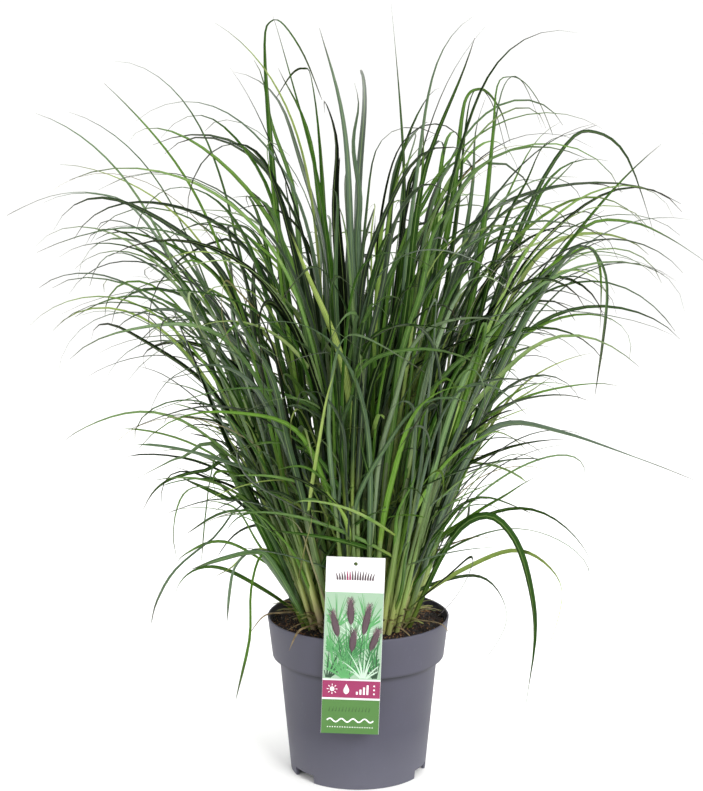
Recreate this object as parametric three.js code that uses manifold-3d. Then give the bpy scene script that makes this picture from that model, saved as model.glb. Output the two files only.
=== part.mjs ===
// A clump of fountain grass in its round nursery pot, with a plant label.
// Millimetres, +Z up. The origin is the middle of the pot's foot on the surface it stands on.
// The label is at the front, towards -Y. Angles about +Z are counted from +X.

import * as THREE from "three";
import { mergeVertices } from "three/addons/utils/BufferGeometryUtils.js";
import Module from "manifold-3d";

const wasm = await Module();
wasm.setup();
const { Manifold, Mesh: SolidMesh } = wasm;

// Gap left between pieces that touch
const GAP = 0.3;

// Pot, a 23 cm nursery pot with a stepped collar
const POT_HEIGHT = 200;
const RIM_RADIUS = 115;
const COLLAR_DEPTH = 51;
const COLLAR_FOOT_RADIUS = 108.2;
const NECK_RADIUS = 99.8;
const FOOT_RADIUS = 85.6;
const WALL = 1.9;
const RIM_ROUND = 0.7;
const FOOT_RING_WIDTH = 3.5;
const FLOOR_UNDERSIDE = 12;
const FLOOR_THICKNESS = 2.2;
const POT_SIDES = 26;
const CUTTER_MARGIN = 10;
const NOTCH_COUNT = 3;
const NOTCH_FIRST_ANGLE = 97.5;
const NOTCH_ANGLE = 25;
const NOTCH_HEIGHT = 11;
const DRAIN_COUNT = 6;
const DRAIN_RADIUS = 6;
const DRAIN_CIRCLE = 52;
const DRAIN_SIDES = 12;

// Potting soil
const SOIL_EDGE_HEIGHT = 188;
const SOIL_CROWN_HEIGHT = 193;
const SOIL_UNEVENNESS = 1.3;
const SOIL_BROAD_WAVE = { along: 0.083, start: 0.6, across: 0.071, shift: 0.4, share: 0.7 };
const SOIL_FINE_WAVE = { along: 0.21, across: 0.17, share: 0.3 };
const ROOT_DEPTH = 44;

// Plant label, one folded plastic sheet that straddles the rim
const LABEL_WIDTH = 70;
const LABEL_TOP = 304;
const LABEL_BOTTOM = 84;
const LABEL_SHEET = 0.8;
const LABEL_TILT = 2;
const LABEL_MIDDLE_X = -7;
const LABEL_FOLD_RADIUS = 0.9;
const LABEL_HOLE_RADIUS = 2.5;
const LABEL_HOLE_DROP = 8;
const LABEL_TAIL_WIDTH = 24;
const LABEL_TAIL_END = 160;
const LABEL_TAIL_TIP = 3;
const LABEL_TAIL_POINT = 26;
const LABEL_TAIL_INSET = 7.6;
const LABEL_FLAP_TAPER = 6;
const LABEL_SLOT_DEPTH = 12;
const LABEL_SLOT_INSET = 5.2;

// Grass clump, eight tufts side by side round the middle, each in its own slice
const TUFT_COUNT = 8;
const FRONT_TUFT = 6;
const SEED = 5310;
const CROWN_RADIUS = 75;
const CROWN_HEART = 4;
const CROWN_TOP = 194;
const CROWN_ARC_STEPS = 4;
const REACH_LIMIT = 400;
const HEIGHT_LIMIT = 930;

// Tillers, the leafy shoots: distance from the middle, and place across the slice from -1 to 1
const TILLER_SPOTS = [
  { reach: 24, side: 0 },
  { reach: 40, side: -0.7 },
  { reach: 43, side: 0.65 },
  { reach: 59, side: -0.85 },
  { reach: 62, side: 0.05 },
  { reach: 60, side: 0.85 },
];
const TILLER_STRAY = 8;
const TILLER_SIDE_STRAY = 0.3;
const TILLER_FOOT = 188;
const TILLER_ROOT = 20;
const TILLER_BASE_RADIUS = 4.6;
const TILLER_TOP_RADIUS = 2.3;
const TILLER_CLEARANCE = 0.4;
const TILLER_RISE = 0.6;
const TILLER_KEEL = 1.1;

// What changes from the heart of the clump to its edge: lean in degrees, length, shorter leaves
const HEART_REACH = 20;
const EDGE_REACH = 64;
const TILLER_LEAN = [3, 21];
const TILLER_LEAN_STRAY = 8;
const LEAST_LEAN = 1;
const TILLER_LENGTH = [300, 230];
const TILLER_LENGTH_SHARE = [0.75, 1.25];
const EDGE_SHORTER = 60;

// Share of the lean that each tuft has, from the right round by the back and the front
const TUFT_LEAN = [0.8, 0.9, 1, 1, 0.96, 0.95, 0.7, 0.85];
const FRONT_DROOP = 0.6;

// Leaves of a tiller from the lowest up: place on the tiller, reach from the soil, extra lean,
// least width, and the steps of its line where the blade has a section
const LEAF_STEPS = 50;
const LEAF_KINDS = [
  { share: 0.12, reach: 420, spread: 12, width: 6.2, stations: [0, 16, 30, 41, 50] },
  { share: 0.4, reach: 640, spread: 6, width: 7.2, stations: [0, 14, 26, 36, 44, 50] },
  { share: 0.66, reach: 770, spread: 4, width: 7.4, stations: [0, 14, 26, 36, 44, 50] },
  { share: 0.92, reach: 840, spread: 3, width: 7.4, stations: [0, 12, 22, 31, 38, 44, 50] },
];
const LEAF_THICKNESS = 1.1;
const LEAF_TIP_THINNING = 0.35;

// How leaves of one kind differ: angles in degrees, the rest in millimetres or as shares
const LEAF_START_STRAY = 0.12;
const LEAF_REACH_SHARE = [0.7, 1.04];
const LEAF_SHORTEST = 190;
const LEAF_SPREAD_SHARE = [-0.2, 1];
const LEAF_DROOP = [35, 165];
const LEAF_POWER = [2, 4.6];
const LEAF_SIDE_STRAY = 1.8;
const LEAF_EXTRA_WIDTH = [0, 3];
const LEAF_TWIST = 1.8;

// How a leaf's width changes along it: a narrower sheath at its foot, and a long point
const SHEATH_WIDTH = 0.6;
const SHEATH_END = 0.2;
const TIP_TAPER = 2.4;
const TIP_SHARPNESS = 0.9;
const SIDE_MARGIN = 0.02;
const WIDEST_SINE = 0.95;

// Leaves that make the outline, each through a few points: slice, width, way it bows, points
const LONG_LEAVES = [
  {
    tuft: 3,
    width: 8,
    bow: -15,
    points: [
      [-42, 32, 185], [-58, 42, 310], [-92, 66, 590], [-108, 84, 776], [-115, 90, 906],
      [-107, 89, 934], [-92, 84, 929], [-67, 76, 892], [-45, 70, 838],
    ],
  },
  {
    tuft: 3,
    width: 8.5,
    bow: 148,
    points: [
      [-33, 38, 185], [-36, 52, 400], [-39, 62, 590], [-46, 72, 777], [-58, 82, 865],
      [-68, 88, 877], [-83, 98, 870], [-104, 110, 840],
    ],
  },
  {
    tuft: 1,
    width: 4.5,
    bow: 20,
    points: [[21, 28, 185], [45, 54, 464], [57, 68, 690], [52, 72, 838], [40, 70, 956]],
  },
  {
    tuft: 1,
    width: 7.5,
    bow: 8,
    points: [
      [33, 33, 185], [89, 60, 463], [123, 76, 677], [135, 84, 807], [143, 86, 846],
      [155, 87, 850], [170, 88, 826], [187, 90, 769],
    ],
  },
  {
    tuft: 1,
    width: 7,
    bow: 15,
    points: [
      [40, 28, 185], [117, 66, 487], [158, 84, 689], [173, 92, 816], [187, 94, 863],
      [207, 98, 858], [232, 108, 803],
    ],
  },
  {
    tuft: 4,
    width: 5,
    bow: 180,
    points: [
      [-62, 0, 185], [-157, 2, 448], [-218, 5, 622], [-271, 6, 707], [-319, 6, 728],
      [-374, 4, 724], [-428, 0, 700],
    ],
  },
  {
    tuft: 0,
    width: 5,
    bow: 0,
    points: [
      [62, 0, 185], [151, 2, 435], [222, 4, 609], [275, 6, 685], [331, 6, 692],
      [379, 4, 673], [424, 0, 644],
    ],
  },
  {
    tuft: 0,
    width: 5.5,
    bow: 5,
    points: [
      [57, 4, 185], [129, 14, 471], [198, 20, 682], [253, 24, 784], [289, 26, 800],
      [329, 26, 769], [365, 24, 671],
    ],
  },
  {
    tuft: 7,
    width: 7.5,
    bow: -26,
    points: [
      [56, -31, 185], [99, -60, 336], [140, -80, 432], [179, -98, 462], [235, -124, 457],
      [301, -156, 440], [383, -192, 415],
    ],
  },
  {
    tuft: 7,
    width: 9,
    bow: -29,
    points: [
      [55, -32, 185], [120, -66, 399], [178, -96, 550], [231, -124, 650], [255, -136, 675],
      [274, -146, 659], [282, -148, 615], [272, -142, 503],
    ],
  },
  {
    tuft: 5,
    width: 6.5,
    bow: 215,
    points: [
      [-55, -31, 185], [-94, -52, 276], [-117, -66, 292], [-129, -84, 255], [-131, -92, 194],
      [-149, -98, 121],
    ],
  },
  {
    tuft: 7,
    width: 8,
    bow: -28,
    points: [
      [60, -33, 185], [111, -62, 311], [153, -84, 347], [186, -100, 321], [205, -108, 262],
      [211, -110, 200], [201, -106, 108],
    ],
  },
];

// Dry leaves at the foot of the clump: slice, angle, width, then distance out and height
const DRY_LEAVES = [
  { tuft: 5, angle: 232, width: 6, points: [[55, 186], [74, 203], [94, 206], [118, 205], [136, 186]] },
  { tuft: 5, angle: 213, width: 5, points: [[60, 186], [78, 200], [96, 198], [107, 194]] },
  { tuft: 4, angle: 193, width: 6, points: [[56, 186], [76, 204], [98, 207], [121, 204], [142, 179]] },
  { tuft: 7, angle: 307, width: 5, points: [[60, 186], [78, 201], [97, 199], [108, 194]] },
  { tuft: 7, angle: 329, width: 6, points: [[57, 186], [76, 202], [97, 205], [120, 204], [133, 190]] },
  { tuft: 0, angle: 12, width: 5, points: [[60, 186], [80, 201], [98, 200], [108, 195]] },
  { tuft: 2, angle: 84, width: 6, points: [[58, 186], [77, 203], [97, 206], [120, 204], [137, 184]] },
];

const HALF_SLICE = Math.PI / TUFT_COUNT;
const UP = new THREE.Vector3(0, 0, 1);
const radians = THREE.MathUtils.degToRad;
const { clamp, lerp } = THREE.MathUtils;

// Solids

// Turns a closed three.js geometry into a solid that can be joined and cut.
function solidOf(geometry) {
  const bare = geometry.clone();
  bare.deleteAttribute("normal");
  bare.deleteAttribute("uv");
  const merged = mergeVertices(bare, 1e-3);
  const corners = Array.from(merged.index.array);
  const kept = [];
  for (let i = 0; i < corners.length; i += 3) {
    const [a, b, c] = corners.slice(i, i + 3);
    if (a !== b && b !== c && c !== a) {
      kept.push(a, b, c);
    }
  }
  return new Manifold(new SolidMesh({
    numProp: 3,
    vertProperties: new Float32Array(merged.attributes.position.array),
    triVerts: new Uint32Array(kept),
  }));
}

// Turns a solid back into a three.js geometry.
function geometryOf(solid) {
  const { vertProperties, triVerts } = solid.getMesh();
  const geometry = new THREE.BufferGeometry();
  geometry.setAttribute("position", new THREE.BufferAttribute(new Float32Array(vertProperties), 3));
  geometry.setIndex(new THREE.BufferAttribute(new Uint32Array(triVerts), 1));
  geometry.computeVertexNormals();
  return geometry;
}

// Adds the side between two sections, split along the diagonal that bulges outwards.
function addSide(triangles, a, aNext, bNext, b) {
  const outward = new THREE.Vector3().subVectors(bNext, a)
    .cross(new THREE.Vector3().subVectors(b, aNext));
  const first = new THREE.Vector3().addVectors(a, bNext).dot(outward);
  const second = new THREE.Vector3().addVectors(aNext, b).dot(outward);
  if (first > second) {
    triangles.push(a, aNext, bNext, a, bNext, b);
  } else {
    triangles.push(a, aNext, b, aNext, bNext, b);
  }
}

// Lofts sections of the same corner count into a closed solid, ending in a point if tip is given.
function loft(sections, tip) {
  const triangles = [];
  const sides = sections[0].length;
  for (let i = 0; i + 1 < sections.length; i += 1) {
    for (let side = 0; side < sides; side += 1) {
      const next = (side + 1) % sides;
      addSide(triangles, sections[i][side], sections[i + 1][side], sections[i + 1][next], sections[i][next]);
    }
  }
  const first = sections[0];
  const last = sections[sections.length - 1];
  for (let side = 1; side + 1 < sides; side += 1) {
    triangles.push(first[0], first[side], first[side + 1]);
    if (!tip) {
      triangles.push(last[0], last[side + 1], last[side]);
    }
  }
  if (tip) {
    for (let side = 0; side < sides; side += 1) {
      triangles.push(last[side], tip, last[(side + 1) % sides]);
    }
  }
  return solidOf(new THREE.BufferGeometry().setFromPoints(triangles));
}

// Joins pieces into one solid, and fills any hollow that the joints seal.
function fused(pieces) {
  const shells = Manifold.union(pieces).decompose();
  return shells.reduce((largest, shell) => (shell.volume() > largest.volume() ? shell : largest));
}

// Turns a profile of radius and height about the Z axis.
function turned(profile) {
  const points = profile.map(([radius, height]) => new THREE.Vector2(radius, height));
  return new THREE.LatheGeometry(points, POT_SIDES).rotateX(Math.PI / 2);
}

// Pot

function outerRadius(height) {
  const neckHeight = POT_HEIGHT - COLLAR_DEPTH;
  if (height < neckHeight) {
    return lerp(FOOT_RADIUS, NECK_RADIUS, height / neckHeight);
  }
  return lerp(COLLAR_FOOT_RADIUS, RIM_RADIUS, (height - neckHeight) / COLLAR_DEPTH);
}

// The pot's inner wall from the floor up, as seen by what fills it, moved inwards by a clearance.
function innerWall(bottom, top, clearance) {
  const ledge = POT_HEIGHT - COLLAR_DEPTH + WALL;
  const neck = ledge - 2 * WALL;
  return [
    [outerRadius(bottom) - WALL - clearance, bottom],
    [outerRadius(neck) - WALL - clearance, neck + clearance],
    [outerRadius(ledge) - WALL - clearance, ledge + clearance],
    [outerRadius(top) - WALL - clearance, top],
  ];
}

// A ring sector that cuts one notch in the foot ring.
function notchCutter(middleAngle) {
  const start = radians(middleAngle - NOTCH_ANGLE / 2);
  const end = radians(middleAngle + NOTCH_ANGLE / 2);
  const shape = new THREE.Shape();
  shape.absarc(0, 0, FOOT_RADIUS + CUTTER_MARGIN, start, end, false);
  shape.absarc(0, 0, FOOT_RADIUS - 3 * FOOT_RING_WIDTH, end, start, true);
  shape.closePath();
  const cutter = new THREE.ExtrudeGeometry(shape, { depth: 2 * NOTCH_HEIGHT, bevelEnabled: false });
  return solidOf(cutter.translate(0, 0, -NOTCH_HEIGHT));
}

function drainCutter(angle) {
  const cutter = new THREE.CylinderGeometry(DRAIN_RADIUS, DRAIN_RADIUS, 3 * FLOOR_UNDERSIDE, DRAIN_SIDES);
  cutter.rotateX(Math.PI / 2);
  cutter.translate(DRAIN_CIRCLE * Math.cos(angle), DRAIN_CIRCLE * Math.sin(angle), 0);
  return solidOf(cutter);
}

function potGeometry() {
  const floorTop = FLOOR_UNDERSIDE + FLOOR_THICKNESS;
  const neckHeight = POT_HEIGHT - COLLAR_DEPTH;
  const rimInside = RIM_RADIUS - WALL;
  const profile = [
    [0, FLOOR_UNDERSIDE],
    [FOOT_RADIUS - FOOT_RING_WIDTH, FLOOR_UNDERSIDE],
    [FOOT_RADIUS - FOOT_RING_WIDTH, 0],
    [FOOT_RADIUS, 0],
    [NECK_RADIUS, neckHeight],
    [COLLAR_FOOT_RADIUS, neckHeight],
    [RIM_RADIUS, POT_HEIGHT - RIM_ROUND],
    [RIM_RADIUS - RIM_ROUND, POT_HEIGHT],
    [rimInside + RIM_ROUND / 2, POT_HEIGHT],
    ...innerWall(floorTop, POT_HEIGHT - RIM_ROUND, 0).reverse(),
    [0, floorTop],
  ];
  let solid = solidOf(turned(profile));
  for (let notch = 0; notch < NOTCH_COUNT; notch += 1) {
    solid = solid.subtract(notchCutter(NOTCH_FIRST_ANGLE + (notch * 360) / NOTCH_COUNT));
  }
  for (let drain = 0; drain < DRAIN_COUNT; drain += 1) {
    solid = solid.subtract(drainCutter((drain * 2 * Math.PI) / DRAIN_COUNT));
  }
  return geometryOf(solid);
}

// Label

// Turns what is made upright in the label's own frame into its place, tilted in its plane.
function placeLabel(geometry) {
  const middle = (LABEL_TOP + LABEL_BOTTOM) / 2;
  return geometry
    .translate(0, 0, -middle)
    .rotateY(radians(LABEL_TILT))
    .translate(LABEL_MIDDLE_X, 0, middle);
}

// The folded sheet seen from its edge, drawn as distance back and height, thickened by grow.
function labelEdge(grow) {
  const front = -RIM_RADIUS - GAP - LABEL_SHEET - grow;
  const back = front + LABEL_SHEET + 2 * grow;
  const crest = LABEL_TOP - LABEL_FOLD_RADIUS - LABEL_SHEET;
  const middle = back - grow + LABEL_FOLD_RADIUS;
  const outer = LABEL_FOLD_RADIUS + LABEL_SHEET + grow;
  const inner = LABEL_FOLD_RADIUS - grow;
  const shape = new THREE.Shape();
  shape.moveTo(front, LABEL_BOTTOM);
  shape.absarc(middle, crest, outer, Math.PI, 0, true);
  shape.lineTo(middle + outer + LABEL_TAIL_INSET, LABEL_TAIL_END - grow);
  shape.lineTo(middle + inner + LABEL_TAIL_INSET, LABEL_TAIL_END - grow);
  shape.absarc(middle, crest, inner, 0, Math.PI, false);
  shape.lineTo(back, LABEL_BOTTOM);
  shape.closePath();
  return shape;
}

// Extrudes a shape drawn as distance back and height across the label's width.
function acrossLabel(shape, width) {
  const geometry = new THREE.ExtrudeGeometry(shape, { depth: width, bevelEnabled: false, curveSegments: 6 });
  geometry.translate(0, 0, -width / 2);
  geometry.applyMatrix4(new THREE.Matrix4().makeBasis(
    new THREE.Vector3(0, 1, 0),
    new THREE.Vector3(0, 0, 1),
    new THREE.Vector3(1, 0, 0),
  ));
  return geometry;
}

// What the sheet is trimmed by on one side of the tail, with a slanted end that points it.
function tailTrim(side) {
  const flapTop = LABEL_TOP - 4 * LABEL_FOLD_RADIUS;
  const below = LABEL_TAIL_END - 5;
  const depth = 3 * CUTTER_MARGIN;
  const shape = new THREE.Shape();
  shape.moveTo(side * (LABEL_TAIL_WIDTH / 2), POT_HEIGHT + LABEL_TAIL_POINT * 2);
  shape.lineTo(side * (LABEL_TAIL_WIDTH / 2), LABEL_TAIL_END + LABEL_TAIL_POINT);
  shape.lineTo(side * (LABEL_TAIL_TIP / 2), below);
  shape.lineTo(side * LABEL_WIDTH, below);
  shape.lineTo(side * LABEL_WIDTH, flapTop);
  shape.lineTo(side * (LABEL_WIDTH / 2 - LABEL_FLAP_TAPER), flapTop);
  shape.closePath();
  const trim = new THREE.ExtrudeGeometry(shape, { depth, bevelEnabled: false });
  trim.rotateX(Math.PI / 2);
  return solidOf(trim.translate(0, -RIM_RADIUS + GAP + depth, 0));
}

function labelHole() {
  const hole = new THREE.CylinderGeometry(LABEL_HOLE_RADIUS, LABEL_HOLE_RADIUS, 3 * CUTTER_MARGIN, 16);
  return solidOf(hole.translate(0, -RIM_RADIUS, LABEL_TOP - LABEL_HOLE_DROP));
}

function labelGeometry() {
  const sheet = solidOf(acrossLabel(labelEdge(0), LABEL_WIDTH));
  const trimmed = sheet.subtract(tailTrim(-1)).subtract(tailTrim(1)).subtract(labelHole());
  return placeLabel(geometryOf(trimmed));
}

// The slot that the label's tail stands in, open towards the pot's wall.
function labelSlot() {
  const top = SOIL_CROWN_HEIGHT + CUTTER_MARGIN;
  const slot = new THREE.BoxGeometry(LABEL_TAIL_WIDTH + 1, LABEL_SLOT_DEPTH, top - LABEL_TAIL_END);
  slot.translate(0, -RIM_RADIUS + LABEL_SLOT_INSET, (top + LABEL_TAIL_END) / 2 - 1);
  return solidOf(placeLabel(slot));
}

// Soil

// Small rises and dips of the soil's surface, in millimetres.
function unevenness(x, y) {
  const { along, start, across, shift } = SOIL_BROAD_WAVE;
  const broad = Math.sin(x * along + start) * Math.cos(y * across - shift);
  const fine = Math.sin(x * SOIL_FINE_WAVE.along - y * SOIL_FINE_WAVE.across);
  return SOIL_UNEVENNESS * (SOIL_BROAD_WAVE.share * broad + SOIL_FINE_WAVE.share * fine);
}

// The round hole in the soil that the crowns of all tufts fill.
function crownHole() {
  const radius = CROWN_RADIUS + GAP;
  const depth = ROOT_DEPTH + CUTTER_MARGIN;
  const sides = TUFT_COUNT * CROWN_ARC_STEPS;
  const cutter = new THREE.CylinderGeometry(radius, radius, depth, sides).rotateX(Math.PI / 2);
  return solidOf(cutter.translate(0, 0, CROWN_TOP - ROOT_DEPTH - GAP + depth / 2));
}

function soilGeometry() {
  const floorTop = FLOOR_UNDERSIDE + FLOOR_THICKNESS + GAP;
  const wall = innerWall(floorTop, SOIL_EDGE_HEIGHT, GAP);
  const edge = wall[wall.length - 1][0];
  const profile = [
    [0, floorTop],
    ...wall,
    [lerp(edge, CROWN_RADIUS, 0.3), lerp(SOIL_EDGE_HEIGHT, SOIL_CROWN_HEIGHT, 0.4)],
    [lerp(edge, CROWN_RADIUS, 0.65), lerp(SOIL_EDGE_HEIGHT, SOIL_CROWN_HEIGHT, 0.8)],
    [CROWN_RADIUS - CUTTER_MARGIN, SOIL_CROWN_HEIGHT - SOIL_UNEVENNESS],
    [0, SOIL_CROWN_HEIGHT - SOIL_UNEVENNESS],
  ];
  const geometry = turned(profile);
  const position = geometry.attributes.position;
  for (let i = 0; i < position.count; i += 1) {
    if (position.getZ(i) > SOIL_EDGE_HEIGHT - 1) {
      position.setZ(i, position.getZ(i) + unevenness(position.getX(i), position.getY(i)));
    }
  }
  return geometryOf(solidOf(geometry).subtract(labelSlot()).subtract(crownHole()));
}

// Grass

// A seeded random draw, so that every leaf always grows the same way.
function makeRandom(seed) {
  let state = seed >>> 0;
  return () => {
    state = (state + 0x6d2b79f5) >>> 0;
    let mixed = Math.imul(state ^ (state >>> 15), state | 1) >>> 0;
    mixed = (mixed ^ (mixed + Math.imul(mixed ^ (mixed >>> 7), mixed | 61))) >>> 0;
    return ((mixed ^ (mixed >>> 14)) >>> 0) / 4294967296;
  };
}

// A draw from a range, and a draw that strays as far to either side of zero.
function within([low, high], random) {
  return lerp(low, high, random());
}

function stray(size, random) {
  return (random() - 0.5) * size;
}

// The leaf narrows to a sheath at its foot and to a point at its tip.
function leafWidth(width, along) {
  const sheath = lerp(SHEATH_WIDTH, 1, Math.min(1, along / SHEATH_END));
  return width * sheath * (1 - along ** TIP_TAPER) ** TIP_SHARPNESS;
}

function growTiller(spot, tuft, random) {
  const reach = spot.reach + stray(TILLER_STRAY, random);
  const side = clamp(spot.side + stray(TILLER_SIDE_STRAY, random), -1, 1);
  const outward = clamp((reach - HEART_REACH) / (EDGE_REACH - HEART_REACH), 0, 1);
  const offset = side * (HALF_SLICE - Math.asin((TILLER_BASE_RADIUS + TILLER_CLEARANCE) / reach));
  const free = radians(lerp(...TILLER_LEAN, outward) + stray(TILLER_LEAN_STRAY, random));
  const lean = Math.max(free * TUFT_LEAN[tuft], radians(LEAST_LEAN));
  const length = lerp(...TILLER_LENGTH, outward) * within(TILLER_LENGTH_SHARE, random);
  return { tuft, reach, side, outward, offset, lean, length };
}

function growLeaf(tiller, kind, random) {
  const start = tiller.length * (kind.share + stray(LEAF_START_STRAY, random));
  const whole = (kind.reach - EDGE_SHORTER * tiller.outward) * within(LEAF_REACH_SHARE, random);
  const length = Math.max(LEAF_SHORTEST, whole - start);
  const free = tiller.lean + radians(kind.spread) * within(LEAF_SPREAD_SHARE, random);
  const lean = Math.max(free, radians(LEAST_LEAN));
  const held = tiller.tuft === FRONT_TUFT ? FRONT_DROOP : 1;
  const droop = held * radians(within(LEAF_DROOP, random));
  const power = within(LEAF_POWER, random);
  const side = clamp(tiller.side + stray(LEAF_SIDE_STRAY, random), -1, 1);
  const width = kind.width + within(LEAF_EXTRA_WIDTH, random);
  const twist = stray(LEAF_TWIST, random);
  return { start, length, lean, droop, power, side, width, twist, stations: kind.stations };
}

// A point at a distance and an angle from the middle of a slice.
function slicePoint(tuft, reach, offset, height) {
  const angle = 2 * HALF_SLICE * tuft + offset;
  return new THREE.Vector3(reach * Math.cos(angle), reach * Math.sin(angle), height);
}

// The line of a leaf that rises, bows outwards and hangs, kept inside its slice.
function leafPath(tiller, leaf, length) {
  let reach = tiller.reach + leaf.start * Math.sin(tiller.lean);
  let height = TILLER_FOOT + leaf.start * Math.cos(tiller.lean);
  const points = [slicePoint(tiller.tuft, reach, tiller.offset, height)];
  const target = leaf.side * (HALF_SLICE - SIDE_MARGIN);
  for (let step = 1; step <= LEAF_STEPS; step += 1) {
    const along = step / LEAF_STEPS;
    const turn = leaf.lean + leaf.droop * ((step - 0.5) / LEAF_STEPS) ** leaf.power;
    reach += (Math.sin(turn) * length) / LEAF_STEPS;
    height += (Math.cos(turn) * length) / LEAF_STEPS;
    const drift = along * along * (3 - 2 * along);
    const clearance = leafWidth(leaf.width, along) / 2 + LEAF_THICKNESS + GAP;
    const limit = HALF_SLICE - Math.asin(Math.min(WIDEST_SINE, clearance / reach));
    const offset = clamp(lerp(tiller.offset, target, drift), -limit, limit);
    points.push(slicePoint(tiller.tuft, reach, offset, height));
  }
  return points;
}

// The share of a leaf's length that keeps a measure of its line within a limit.
function shareWithin(values, limit) {
  const furthest = Math.max(...values);
  return furthest > limit ? (limit - values[0]) / (furthest - values[0]) : 1;
}

// The leaf's line, shortened where it would reach past the clump's limits.
function limitedPath(tiller, leaf) {
  const free = leafPath(tiller, leaf, leaf.length);
  const outwards = shareWithin(free.map((point) => Math.hypot(point.x, point.y)), REACH_LIMIT);
  const upwards = shareWithin(free.map((point) => point.z), HEIGHT_LIMIT);
  return leafPath(tiller, leaf, leaf.length * Math.min(outwards, upwards));
}

// A three-cornered section: two edges that rise above the middle, and a keel below it.
function section(middle, across, face, half, rise, depth) {
  return [
    middle.clone().addScaledVector(across, -half).addScaledVector(face, rise),
    middle.clone().addScaledVector(across, half).addScaledVector(face, rise),
    middle.clone().addScaledVector(face, -depth),
  ];
}

// The sections of a blade along a line of points: flat above, with a keel below.
function bladeSections(points, shares, width, faceAngle, twist) {
  const across = new THREE.Vector3(Math.cos(faceAngle), Math.sin(faceAngle), 0);
  return points.slice(0, -1).map((point, i) => {
    const before = points[Math.max(0, i - 1)];
    const way = new THREE.Vector3().subVectors(points[i + 1], before).normalize();
    across.addScaledVector(way, -across.dot(way)).normalize();
    const level = across.clone().applyAxisAngle(way, twist * shares[i]);
    const face = new THREE.Vector3().crossVectors(way, level);
    const depth = LEAF_THICKNESS * (1 - LEAF_TIP_THINNING * shares[i]);
    return section(point, level, face, leafWidth(width, shares[i]) / 2, 0, depth);
  });
}

function blade(points, shares, width, faceAngle, twist) {
  const sections = bladeSections(points, shares, width, faceAngle, twist);
  return loft(sections, points[points.length - 1]);
}

// How far along its line each point is, from 0 to 1.
function sharesOf(points) {
  const lengths = [0];
  for (let i = 1; i < points.length; i += 1) {
    lengths.push(lengths[i - 1] + points[i].distanceTo(points[i - 1]));
  }
  return lengths.map((length) => length / lengths[lengths.length - 1]);
}

function leafSections(tiller, leaf, path) {
  const points = leaf.stations.map((step) => path[step]);
  const shares = leaf.stations.map((step) => step / LEAF_STEPS);
  const faceAngle = 2 * HALF_SLICE * tiller.tuft + tiller.offset + Math.PI / 2;
  return bladeSections(points, shares, leaf.width, faceAngle, leaf.twist);
}

function leafBlade(tiller, leaf) {
  const path = limitedPath(tiller, leaf);
  return loft(leafSections(tiller, leaf, path), path[LEAF_STEPS]);
}

function longBlade(leaf) {
  const points = leaf.points.map((point) => new THREE.Vector3(...point));
  return blade(points, sharesOf(points), leaf.width, radians(leaf.bow + 90), 0);
}

function dryBlade(leaf) {
  const points = leaf.points.map(([reach, height]) => {
    const angle = radians(leaf.angle);
    return new THREE.Vector3(reach * Math.cos(angle), reach * Math.sin(angle), height);
  });
  return blade(points, sharesOf(points), leaf.width, radians(leaf.angle + 90), 0);
}

// The shoot from inside the crown upwards, which runs out into its top leaf.
function shootSolid(tiller, topLeaf) {
  const way = slicePoint(tiller.tuft, Math.sin(tiller.lean), tiller.offset, Math.cos(tiller.lean));
  const across = new THREE.Vector3().crossVectors(UP, way).normalize();
  const face = new THREE.Vector3().crossVectors(way, across);
  const foot = slicePoint(tiller.tuft, tiller.reach, tiller.offset, TILLER_FOOT);
  const stem = [-TILLER_ROOT, topLeaf.start * 0.5, topLeaf.start].map((distance) => {
    const radius = lerp(TILLER_BASE_RADIUS, TILLER_TOP_RADIUS, Math.max(0, distance) / topLeaf.start);
    const middle = foot.clone().addScaledVector(way, distance);
    return section(middle, across, face, radius, TILLER_RISE * radius, TILLER_KEEL * radius);
  });
  const path = limitedPath(tiller, topLeaf);
  return loft([...stem, ...leafSections(tiller, topLeaf, path).slice(1)], path[LEAF_STEPS]);
}

// One slice of the crown, the mat of roots and sheath feet that stands in the soil.
function crownSlice(tuft) {
  const middle = 2 * HALF_SLICE * tuft;
  const edge = GAP / 2 / Math.sin(HALF_SLICE);
  const shape = new THREE.Shape();
  const corner = (radius, offset) => {
    const point = slicePoint(tuft, radius, offset, 0);
    return [point.x + edge * Math.cos(middle), point.y + edge * Math.sin(middle)];
  };
  shape.moveTo(...corner(CROWN_HEART, -HALF_SLICE));
  for (let step = 0; step <= CROWN_ARC_STEPS; step += 1) {
    const offset = lerp(-HALF_SLICE, HALF_SLICE, step / CROWN_ARC_STEPS);
    shape.lineTo(...corner(CROWN_RADIUS - edge, offset));
  }
  shape.lineTo(...corner(CROWN_HEART, HALF_SLICE));
  shape.closePath();
  const slice = new THREE.ExtrudeGeometry(shape, { depth: ROOT_DEPTH, bevelEnabled: false });
  return solidOf(slice.translate(0, 0, CROWN_TOP - ROOT_DEPTH));
}

function tuftGeometry(tuft) {
  const random = makeRandom(SEED + tuft);
  const pieces = [crownSlice(tuft)];
  for (const spot of TILLER_SPOTS) {
    const tiller = growTiller(spot, tuft, random);
    const leaves = LEAF_KINDS.map((kind) => growLeaf(tiller, kind, random));
    pieces.push(shootSolid(tiller, leaves.pop()));
    pieces.push(...leaves.map((leaf) => leafBlade(tiller, leaf)));
  }
  for (const leaf of LONG_LEAVES.filter((each) => each.tuft === tuft)) {
    pieces.push(longBlade(leaf));
  }
  for (const leaf of DRY_LEAVES.filter((each) => each.tuft === tuft)) {
    pieces.push(dryBlade(leaf));
  }
  return geometryOf(fused(pieces));
}

// Finishes

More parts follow.
